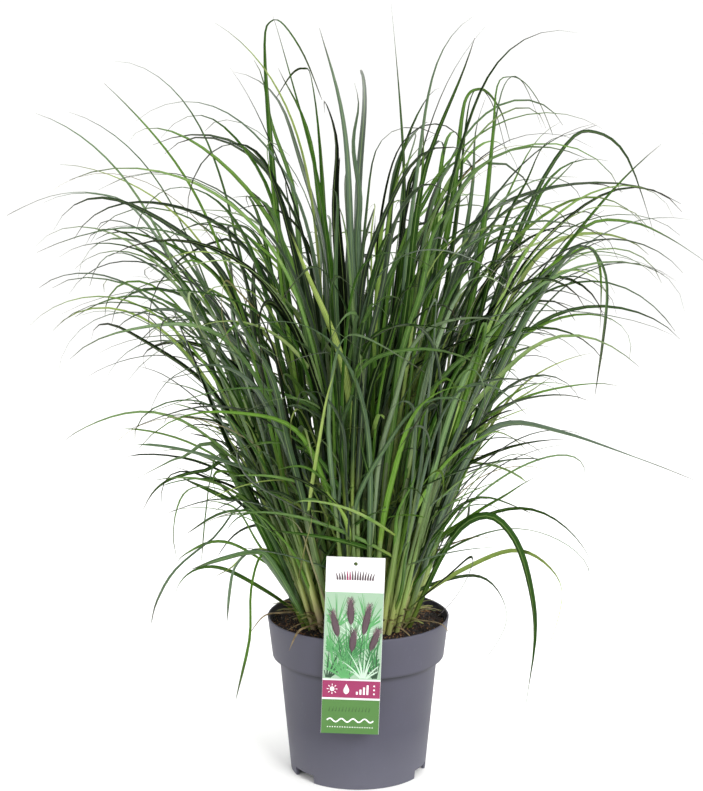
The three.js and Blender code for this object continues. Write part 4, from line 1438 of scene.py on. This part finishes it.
def old_sheath(random):
    """The line of one torn sheath, which bends outwards."""
    angle = 2 * math.pi * random()
    reach = CROWN_RADIUS * lerp(*OLD_SHEATH_REACH, math.sqrt(random()))
    least, more = OLD_SHEATH_LEAN
    lean = math.radians(least + more * reach / CROWN_RADIUS * within(OLD_SHEATH_LEAN_SHARE, random))
    length = lerp(*OLD_SHEATH_LENGTH, random() ** OLD_SHEATH_RARITY)
    outward = Vector((math.cos(angle), math.sin(angle), 0))
    foot = outward * reach + Vector((0, 0, CROWN_TOP - OLD_SHEATH_DEPTH))
    shares = [step / OLD_SHEATH_STEPS for step in range(OLD_SHEATH_STEPS + 1)]
    points = []
    for share in shares:
        bend = lean + OLD_SHEATH_BEND * share * share
        way = outward * math.sin(bend) + Vector((0, 0, math.cos(bend)))
        points.append(foot + way * length * share)
    face_angle = angle + math.pi / 2 + stray(OLD_SHEATH_SPIN, random)
    width = within(OLD_SHEATH_WIDTH, random)
    return {
        "points": points,
        "shares": [OLD_SHEATH_COLOURS * share for share in shares],
        "widths": [width * (1 - OLD_SHEATH_TAPER * share * share) for share in shares],
        "ways": across_ways(points, shares, face_angle, stray(OLD_SHEATH_SPIN, random)),
        "dryness": clamp(OLD_SHEATH_DRYNESS * random(), 0, 1),
        "tint": random(),
    }


def grow_old_sheaths():
    """Short torn sheaths between the shoots, dry and pale."""
    random = make_random(OLD_SHEATH_SEED)
    lines = [old_sheath(random) for _ in range(OLD_SHEATH_COUNT)]
    return sweep_piece("old_sheaths", lines, sheath_material, OLD_SHEATH_SECTION)


finish_piece(grow_old_sheaths(), "grass")

# %% [markdown]
# ## Dry leaves
#
# A few dead leaves lie over the soil and the rim. They have lost their green, so their material
# has straw colours with darker spots and no gloss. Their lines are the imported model's own.

# %% Dry leaves on the soil
DRY_SEED = SEED + 900
DRY_SECTION = {"Section points": 8, "Fold": 0.3, "Thickness": 0.09}
DRY_STEPS = 6
DRY_TWIST = 0.6
DRY_TIP_WIDTH = 0.3
STRAW_SPOT = 6.0
STRAW_RIBS = 8
STRAWS = [(0.3, "#3a2c1d"), (0.48, "#6b5838"), (0.7, "#94805a")]


def make_straw_material():
    """Dead leaf: straw and grey-brown, matte, with fine ribs and darker spots."""
    material, tree, shader = new_material("dry grass leaf")
    place = add_node(tree, "ShaderNodeTexCoord", output="Object")
    spots = add_node(
        tree, "ShaderNodeTexNoise", {"Vector": place, "Scale": 1 / (STRAW_SPOT * MM), "Detail": 4.0}
    )
    straw = add_node(tree, "ShaderNodeValToRGB", {"Fac": spots}, stops=STRAWS)
    ribs = ribs_across(tree, STRAW_RIBS)
    crest = add_node(tree, "ShaderNodeMapRange", {0: ribs, 1: -1.0, 2: 1.0, 3: 0.0, 4: 0.3})
    finish = {
        "Base Color": layered(tree, straw, [(crest, "#a3936b")]),
        "Roughness": 0.75,
        "Normal": add_node(tree, "ShaderNodeBump", {"Height": ribs, "Strength": 0.5, "Distance": 0.0002}),
    }
    fill_inputs(tree, shader, finish)
    return material


def grow_dry_leaves():
    """The dead leaves that lie over the soil and the rim."""
    random = make_random(DRY_SEED)
    lines = []
    for degrees, width, points in DRY_LEAVES:
        angle = math.radians(degrees)
        way_out = Vector((math.cos(angle), math.sin(angle), 0))
        line = smooth_line([way_out * reach + Vector((0, 0, height)) for reach, height in points], DRY_STEPS)
        shares = shares_of(line)
        ways = across_ways(line, shares, angle + math.pi / 2, stray(DRY_TWIST, random))
        widths = [max(DRY_TIP_WIDTH, leaf_width(width, share)) for share in shares]
        lines.append({"points": line, "shares": shares, "ways": ways, "widths": widths, "tint": random()})
    return sweep_piece("dry_leaves", lines, make_straw_material(), DRY_SECTION)


finish_piece(grow_dry_leaves(), "grass")

# %% [markdown]
# ## Potting soil
#
# The growing medium is mostly peat and composted bark: dark and moist, crumbly, with fibres, and
# with a few pale grains. The packed soil gives the filled volume. Here its top is rebuilt as a fine
# surface, and Geometry Nodes strew crumbs, bark and grains over it. Scattering suits Geometry
# Nodes, because one seed fixes hundreds of places and sizes at once.

# %% Soil material
PEAT_GRAIN = 1.6
PEATS = [(0.1, "#0b0604"), (0.45, "#1d120b"), (0.8, "#352115"), (1.05, "#573823"), (1.25, "#80603d")]
MINERAL_GRAIN = 0.8
MINERALS = [(0.3, "#8d8067"), (0.6, "#cfc6b2")]


def make_soil_material():
    """Moist peat with bark, coloured by a number that each crumb carries."""
    material, tree, shader = new_material("moist peat and bark")
    (crumb_shade,) = read_numbers(tree, "shade")
    place = add_node(tree, "ShaderNodeTexCoord", output="Object")
    fine = add_node(
        tree, "ShaderNodeTexNoise", {"Vector": place, "Scale": 1 / (PEAT_GRAIN * MM), "Detail": 6.0}
    )
    shade = add_node(tree, "ShaderNodeMath", {0: fine, 1: 0.3, 2: crumb_shade}, operation="MULTIPLY_ADD")
    finish = {
        "Base Color": add_node(tree, "ShaderNodeValToRGB", {"Fac": shade}, stops=PEATS),
        "Roughness": 0.86,
        "Normal": add_node(tree, "ShaderNodeBump", {"Height": fine, "Strength": 0.8, "Distance": 0.0006}),
    }
    fill_inputs(tree, shader, finish)
    return material


def make_grain_material():
    """Pale mineral grains."""
    material, tree, shader = new_material("pale mineral grain")
    place = add_node(tree, "ShaderNodeTexCoord", output="Object")
    fine = add_node(
        tree, "ShaderNodeTexNoise", {"Vector": place, "Scale": 1 / (MINERAL_GRAIN * MM), "Detail": 3.0}
    )
    colour = add_node(tree, "ShaderNodeValToRGB", {"Fac": fine}, stops=MINERALS)
    fill_inputs(tree, shader, {"Base Color": colour, "Roughness": 0.8})
    return material


soil_material = make_soil_material()
grain_material = make_grain_material()
print("materials:", soil_material.name, "and", grain_material.name)

# %% Soil surface
SOIL_EDGE = 188.0
SOIL_CROWN = 193.0
SOIL_CLEARANCE = 0.3
SOIL_RINGS = 56
SOIL_SECTORS = 160
SOIL_WAVES = 1.3
SOIL_LUMPS = 1.6
LUMP_SCALE = 0.16


def soil_height(x, y):
    """Height of the soil: a low mound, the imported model's unevenness, and small lumps."""
    share = math.hypot(x, y) / (wall_radius(SOIL_EDGE) - WALL)
    mound = lerp(SOIL_CROWN, SOIL_EDGE, share * share)
    broad = 0.7 * math.sin(0.083 * x + 0.6) * math.cos(0.071 * y - 0.4)
    narrow = 0.3 * math.sin(0.21 * x - 0.17 * y)
    lumps = noise.fractal(Vector((x, y, 0)) * LUMP_SCALE, 0.6, 2.1, 4)
    return mound + SOIL_WAVES * (broad + narrow) + SOIL_LUMPS * lumps


def make_soil_body():
    """A closed body that fills the pot, with a fine top."""
    play = WALL + SOIL_CLEARANCE
    edge = wall_radius(SOIL_EDGE) - WALL - SOIL_CLEARANCE
    vertices = [(0, 0, soil_height(0, 0) * MM)]
    for ring in range(1, SOIL_RINGS + 1):
        for x, y in circle(edge * ring / SOIL_RINGS, SOIL_SECTORS):
            vertices.append((x * MM, y * MM, soil_height(x, y) * MM))
    below = [
        (wall_radius(LEDGE + WALL) - play, LEDGE + play),
        (wall_radius(LEDGE - WALL) - play, LEDGE - WALL + SOIL_CLEARANCE),
        (wall_radius(FLOOR_TOP) - play - INSIDE_ROUND, FLOOR_TOP + SOIL_CLEARANCE),
    ]
    for radius, height in below:
        vertices.extend((x * MM, y * MM, height * MM) for x, y in circle(radius, SOIL_SECTORS))
    vertices.append((0, 0, (FLOOR_TOP + SOIL_CLEARANCE) * MM))
    faces = ring_faces(SOIL_RINGS + len(below), SOIL_SECTORS, len(vertices) - 1)
    return place_mesh("soil", vertices, faces, [soil_material])


print("the soil is", round(soil_height(0, 0)), "mm above the floor in its middle")

# %% Scatter tree
SCATTER_SEED = 17
LEAST_UPWARD = 0.6
# shape, number per square metre, smallest and largest size in millimetres, how flat it lies, finish
STREWN = [
    ("crumb", 105000.0, (0.5, 0.5, 0.4), (1.9, 1.7, 1.3), 0.0, "Soil material"),
    ("crumb", 9000.0, (1.6, 1.4, 1.0), (3.6, 2.8, 2.0), 0.3, "Soil material"),
    ("chip", 14000.0, (1.6, 0.3, 0.2), (6.0, 0.8, 0.5), 0.9, "Soil material"),
    ("crumb", 4200.0, (0.4, 0.4, 0.3), (1.2, 1.0, 0.8), 0.0, "Grain material"),
]


def random_vector(tree, seed, low, high):
    """Three numbers for each point, drawn between two corners."""
    limits = {0: tuple(low), 1: tuple(high), "Seed": seed}
    return add_node(tree, "FunctionNodeRandomValue", limits, data_type="FLOAT_VECTOR")


def scatter_branch(tree, given, shape, density, smallest, largest, flatness, finish):
    """Strews copies of a shape over the upward faces of the ground, each turned and sized at random."""
    ground, seed = given["Geometry"], given["Seed"]
    normal = add_node(tree, "GeometryNodeInputNormal")
    up = {0: add_node(tree, "ShaderNodeSeparateXYZ", {0: normal}, "Z"), 1: LEAST_UPWARD}
    upward = add_node(tree, "FunctionNodeCompare", up, data_type="FLOAT", operation="GREATER_THAN")
    spread = {"Mesh": ground, "Selection": upward, "Density": density, "Seed": seed}
    points = add_node(tree, "GeometryNodeDistributePointsOnFaces", spread, "Points")
    tilt = math.pi * (1 - flatness)
    turn = random_vector(tree, seed, (-tilt, -tilt, -math.pi), (tilt, tilt, math.pi))
    size = random_vector(tree, seed, (side * MM for side in smallest), (side * MM for side in largest))
    placed = {"Points": points, "Instance": shape, "Scale": size, "Rotation": turn}
    copies = add_node(tree, "GeometryNodeInstanceOnPoints", placed)
    shade = add_node(tree, "FunctionNodeRandomValue", {"Seed": seed}, 1, data_type="FLOAT")
    stored = {"Geometry": copies, "Name": "shade", "Value": shade}
    named = add_node(
        tree, "GeometryNodeStoreNamedAttribute", stored, data_type="FLOAT", domain="INSTANCE"
    )
    real = add_node(tree, "GeometryNodeRealizeInstances", {0: named})
    return add_node(tree, "GeometryNodeSetMaterial", {"Geometry": real, "Material": given[finish]})


def make_scatter_tree():
    """Crumbs, bark and pale grains on top of the soil."""
    sockets = [("Seed", "Int"), ("Soil material", "Material"), ("Grain material", "Material")]
    tree, given = tree_with_inputs("strew the soil", sockets)
    shapes = {
        "crumb": add_node(tree, "GeometryNodeMeshIcoSphere", {"Radius": 1.0, "Subdivisions": 1}),
        "chip": add_node(tree, "GeometryNodeMeshCube", {"Size": (2.0, 2.0, 2.0)}),
    }
    branches = [scatter_branch(tree, given, shapes[shape], *sizes) for shape, *sizes in STREWN]
    joined = add_node(tree, "GeometryNodeJoinGeometry", output=None)
    for part in [given["Geometry"], *branches]:
        tree.links.new(part, joined.inputs[0])
    add_node(tree, "NodeGroupOutput", {0: joined.outputs[0]}, output=None)
    return tree


scatter_tree = make_scatter_tree()
print("scatter tree:", len(scatter_tree.nodes), "nodes")

# %% Soil piece
soil = make_soil_body()
strewing = {"Seed": SCATTER_SEED, "Soil material": soil_material, "Grain material": grain_material}
set_modifier(soil, scatter_tree, strewing)
finish_piece(settle(soil), "potting_soil", "soil")

# %% [markdown]
# ## Label
#
# The label is a folded plastic sheet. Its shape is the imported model's own, and it only gets a satin
# surface. The print is generic: coloured fields with a drawing of a grass clump with seed heads,
# three care signs and plain ornaments, and no lettering. Fields are thin plates just proud of the
# sheet. Strokes are flat lines, swept by the same tree as the leaves. A number per line picks the ink.

# %% Ink and sheet materials
INKS = {
    "white": "#eff0ed", "mist": "#8aa58c", "mint": "#4b8f52", "grass": "#2d713a", "shade": "#163a20",
    "pale": "#b3cbb6", "plume": "#46323a", "bristle": "#7c6268", "plum": "#861b4e",
    "field": "#406d2c", "moss": "#2d4f20",
}
SHEET_CLOUD = 9.0


def ink(name):
    """The number that picks an ink, in the middle of its step."""
    return (list(INKS).index(name) + 0.5) / len(INKS)


def make_ink_material():
    """Printing ink under a clear coat: one colour per step of the line's number."""
    material, tree, shader = new_material("printed ink")
    stops = [(step / len(INKS), colour) for step, colour in enumerate(INKS.values())]
    (number,) = read_numbers(tree, "tint")
    steps = add_node(tree, "ShaderNodeValToRGB", {"Fac": number}, None, stops)
    steps.color_ramp.interpolation = "CONSTANT"
    fill_inputs(tree, shader, {"Base Color": steps.outputs["Color"], "Roughness": 0.34})
    return material


def make_sheet_material():
    """White plastic sheet, satin, with a barely uneven surface."""
    material, tree, shader = new_material("satin polypropylene sheet")
    place = add_node(tree, "ShaderNodeTexCoord", output="Object")
    cloud = add_node(
        tree, "ShaderNodeTexNoise", {"Vector": place, "Scale": 1 / (SHEET_CLOUD * MM), "Detail": 3.0}
    )
    finish = {
        "Base Color": layered(tree, "#dededf", [(cloud, "#e6e6e7")]),
        "Roughness": 0.36,
        "Normal": add_node(tree, "ShaderNodeBump", {"Height": cloud, "Strength": 0.1, "Distance": 0.0002}),
    }
    fill_inputs(tree, shader, finish)
    return material


ink_material = make_ink_material()
sheet_material = make_sheet_material()
for material_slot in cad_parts["label"].material_slots:
    material_slot.material = sheet_material
print("inks:", list(INKS))

# %% Places on the label
LABEL_TURN = math.radians(2)
LABEL_CENTRE = (LABEL_MIDDLE, 194.0)
LABEL_FACE = -116.1
LABEL_HEIGHT = 220.0
# heights of the fields from the label's foot, and how far the print reaches to each side
PICTURE = (69.0, 177.0)
CARE_FIELD = (45.5, 67.0)
FOOT_FIELD = (0.3, 43.0)
FIELD_HALF_WIDTH = 34.7
FIELD_DEPTH = 0.04
# steps from the foot of a round spot to its top, and how near they come to both ends
SPOT_STEPS = 10
SPOT_START = 0.03
SPOT_SHARE = 0.94


def on_label(across, up, depth):
    """A point in front of the label: millimetres from its middle line and from its foot."""
    raised = up - LABEL_HEIGHT / 2
    x = LABEL_CENTRE[0] + across * math.cos(LABEL_TURN) + raised * math.sin(LABEL_TURN)
    z = LABEL_CENTRE[1] - across * math.sin(LABEL_TURN) + raised * math.cos(LABEL_TURN)
    return Vector((x, LABEL_FACE - depth, z))


def stroke(places, widths, colour, depth):
    """A flat line on the label through places, with its widths."""
    points = [on_label(across, up, depth) for across, up in places]
    ways = []
    for i in range(len(points)):
        along = points[min(len(points) - 1, i + 1)] - points[max(0, i - 1)]
        ways.append(along.cross(Vector((0, -1, 0))).normalized())
    shares = shares_of(points)
    return {"points": points, "shares": shares, "ways": ways, "widths": widths, "tint": ink(colour)}


def disc(across, up, radius, colour, depth):
    """A round spot."""
    steps = range(SPOT_STEPS + 1)
    turns = [math.pi * (SPOT_START + SPOT_SHARE * step / SPOT_STEPS) for step in steps]
    places = [(across, up - radius * math.cos(turn)) for turn in turns]
    return stroke(places, [2 * radius * math.sin(turn) for turn in turns], colour, depth)


print("the label's lower left corner:", [round(v, 1) for v in on_label(-35, 0, 0)])

# %% Drawn grass
PICTURE_SEED = 77
BLADE_STEPS = 10
BLADE_FAN = 110
BLADE_BEND = 0.8
BLADE_WIDTH = (1.2, 2.3)
BLADE_LEAST_WIDTH = 0.12
STALK_LENGTH = 34
PLUME_STEPS = 8
PLUME_BRISTLES = 64
BRISTLE_WIDTHS = [0.62, 0.24]
# foot of each clump, ink, number of blades, height, distance in front of the sheet
CLUMPS = [
    ((-20, 136), "mint", 22, 44, 0.05), ((16, 134), "mint", 22, 46, 0.055),
    ((2, 120), "pale", 14, 40, 0.06), ((-24, 104), "mint", 20, 46, 0.07),
    ((14, 108), "mint", 20, 46, 0.08), ((-6, 92), "grass", 26, 52, 0.1),
    ((27, 88), "grass", 20, 44, 0.12), ((-20, 78), "mint", 24, 50, 0.14),
    ((12, 76), "grass", 26, 56, 0.16), ((-30, 70.5), "shade", 14, 40, 0.18),
    ((29, 70.5), "shade", 14, 40, 0.18), ((-8, 70.5), "mint", 22, 46, 0.2),
    ((14, 70.5), "pale", 12, 38, 0.22),
]
# foot of each seed head, its lean in degrees, its length
HEADS = [
    ((-18, 121), -14, 34), ((-3, 136), -3, 34), ((12, 124), 10, 40),
    ((21, 105), 19, 30), ((-1, 103), 4, 28),
]


def drawn_blade(foot, angle, bend, length, width, colour, depth):
    """A bowed blade of the drawing. It stops where it would leave the picture."""
    across, up = foot
    places = []
    widths = []
    for step in range(BLADE_STEPS + 1):
        share = step / BLADE_STEPS
        inside = abs(across) < FIELD_HALF_WIDTH - width and PICTURE[0] + 0.5 < up < PICTURE[1] - 1
        if not inside:
            break
        places.append((across, up))
        widths.append(max(BLADE_LEAST_WIDTH, width * (1 - share**1.6)))
        turn = math.radians(angle + bend * share * share)
        across += length / BLADE_STEPS * math.sin(turn)
        up += length / BLADE_STEPS * math.cos(turn)
    return stroke(places, widths, colour, depth) if len(places) > 2 else None


def drawn_plume(foot, angle, length, depth, random):
    """A seed head of the drawing: an oval with fine bristles that lean forward."""
    way = (math.sin(math.radians(angle)), math.cos(math.radians(angle)))
    shares = [step / PLUME_STEPS for step in range(PLUME_STEPS + 1)]
    places = [(foot[0] + way[0] * length * s, foot[1] + way[1] * length * s) for s in shares]
    widths = [0.2 + 8.2 * math.sin(math.pi * s**0.8) ** 0.7 for s in shares]
    lines = [stroke(places, widths, "plume", depth)]
    for bristle in range(PLUME_BRISTLES):
        share = 0.03 + 0.92 * bristle / (PLUME_BRISTLES - 1)
        side = 1 if bristle % 2 else -1
        start = (foot[0] + way[0] * length * share, foot[1] + way[1] * length * share)
        turn = math.radians(angle + side * (18 + 20 * random()))
        reach = 9.4 * math.sin(math.pi * share**0.8) ** 0.5 + 2.4 * random()
        end = (start[0] + reach * math.sin(turn), start[1] + reach * math.cos(turn))
        colour = "plume" if random() < 0.5 else "bristle"
        lines.append(stroke([start, end], BRISTLE_WIDTHS, colour, depth + 0.03 + 0.03 * random()))
    return lines


def draw_picture():
    """Clumps of blades in front of one another, with seed heads over them."""
    random = make_random(PICTURE_SEED)
    lines = []
    for (across, up), colour, count, tall, depth in CLUMPS:
        for blade in range(count):
            lean = (blade / (count - 1) - 0.5) * BLADE_FAN + stray(16, random)
            foot = (across + lean * 0.07, up)
            length = tall * lerp(1, 0.7, abs(lean) / 63) * within((0.7, 1.2), random)
            width = within(BLADE_WIDTH, random)
            lines.append(drawn_blade(foot, lean, lean * BLADE_BEND, length, width, colour, depth))
    for foot, angle, length in HEADS:
        start = (foot[0] - STALK_LENGTH * math.sin(math.radians(angle * 0.7)), foot[1] - STALK_LENGTH)
        lines.append(stroke([start, foot], [0.9, 0.7], "shade", 0.2))
        lines.extend(drawn_plume(foot, angle, length, 0.24, random))
    return [line for line in lines if line]


picture_lines = draw_picture()
print(len(picture_lines), "strokes in the picture")

# %% Care signs and ornaments
SIGN_DEPTH = 0.1
CREST_DEPTH = 0.04
SUN = (-23, 56.2)
SUN_RADIUS = 2.9
SUN_RAYS = 8
RAY_REACH = (4.2, 6.4)
DROP_FOOT = (-6, 50)
DROP_HEIGHT = 12.6
DROP_WIDTHS = [0.3, 4.6, 6.3, 7.1, 7.2, 6.6, 5.5, 4.2, 2.8, 1.5, 0.2]
WAVE_STEPS = 64
CREST_BLADES = 15
CREST_FOOT = 192


def draw_care_signs():
    """A sun, a water drop, bars for the height and three spots, all white."""
    lines = [disc(*SUN, SUN_RADIUS, "white", SIGN_DEPTH)]
    for ray in range(SUN_RAYS):
        turn = 2 * math.pi * ray / SUN_RAYS
        ends = [(SUN[0] + math.sin(turn) * reach, SUN[1] + math.cos(turn) * reach) for reach in RAY_REACH]
        lines.append(stroke(ends, [0.9, 0.9], "white", SIGN_DEPTH))
    last = len(DROP_WIDTHS) - 1
    drop = [(DROP_FOOT[0], DROP_FOOT[1] + DROP_HEIGHT * step / last) for step in range(last + 1)]
    lines.append(stroke(drop, DROP_WIDTHS, "white", SIGN_DEPTH))
    for bar in range(4):
        across = 7 + 4.2 * bar
        ends = [(across, 50), (across, 53.5 + 2.8 * bar)]
        lines.append(stroke(ends, [2.4, 2.4], "white", SIGN_DEPTH))
    lines.extend(disc(27.5, 51 + 5 * spot, 1.1, "white", SIGN_DEPTH) for spot in range(3))
    return lines


def draw_ornaments():
    """A wave, rows of spots and small blades, and a crest of blades at the head."""
    steps = range(WAVE_STEPS + 1)
    wave = [(-28 + 56 * step / WAVE_STEPS, 17 + 2.1 * math.sin(step * math.pi / 8)) for step in steps]
    lines = [stroke(wave, [1.7] * len(wave), "white", SIGN_DEPTH)]
    lines.extend(disc(-27 + 3 * spot, 8.5, 0.7, "white", SIGN_DEPTH) for spot in range(19))
    for blade in range(13):
        ends = [(-26 + 4 * blade, 28), (-24.6 + 4 * blade, 34)]
        lines.append(stroke(ends, [1.3, 0.3], "moss", SIGN_DEPTH))
    middle = (CREST_BLADES - 1) / 2
    for blade in range(CREST_BLADES):
        across = 3 * (blade - middle)
        tall = 9 + 4 * math.sin(math.pi * blade / (CREST_BLADES - 1))
        bow = (blade - middle) * 0.34
        shares = (0, 0.25, 0.5, 0.75, 1)
        curve = [(across + bow * share**2, CREST_FOOT + tall * share) for share in shares]
        colour = "plum" if blade in (4, 5) else "plume"
        lines.append(stroke(curve, [2.3, 2.2, 1.8, 1.2, 0.2], colour, CREST_DEPTH))
    lines.extend(disc(-21 + 2 * spot, 187, 0.4, "bristle", CREST_DEPTH) for spot in range(22))
    return lines


sign_lines = draw_care_signs() + draw_ornaments()
print(len(sign_lines), "strokes in the signs and ornaments")

# %% Printed pieces
STROKE_SECTION = {"Section points": 6, "Fold": 0.0, "Thickness": 0.05}
FIELDS = [(*PICTURE, "mist"), (*CARE_FIELD, "plum"), (*FOOT_FIELD, "field")]
PLATE_FACES = [(0, 3, 2, 1), (4, 5, 6, 7), (0, 1, 5, 4), (1, 2, 6, 5), (2, 3, 7, 6), (3, 0, 4, 7)]


def make_fields():
    """The coloured fields, as one piece of thin plates."""
    vertices = []
    faces = []
    tints = []
    for low, high, colour in FIELDS:
        start = len(vertices)
        corners = [(-1, low), (1, low), (1, high), (-1, high)]
        for depth in (0.0, FIELD_DEPTH):
            vertices.extend(on_label(side * FIELD_HALF_WIDTH, up, depth) * MM for side, up in corners)
        faces.extend(tuple(start + corner for corner in face) for face in PLATE_FACES)
        tints.extend([ink(colour)] * (len(vertices) - start))
    piece = place_mesh("label_fields", vertices, faces, [ink_material])
    mark_points(piece, "tint", tints)
    return piece


finish_piece(make_fields(), "label_sheet")
strokes = sweep_piece("label_strokes", picture_lines + sign_lines, ink_material, STROKE_SECTION)
finish_piece(strokes, "label_sheet")
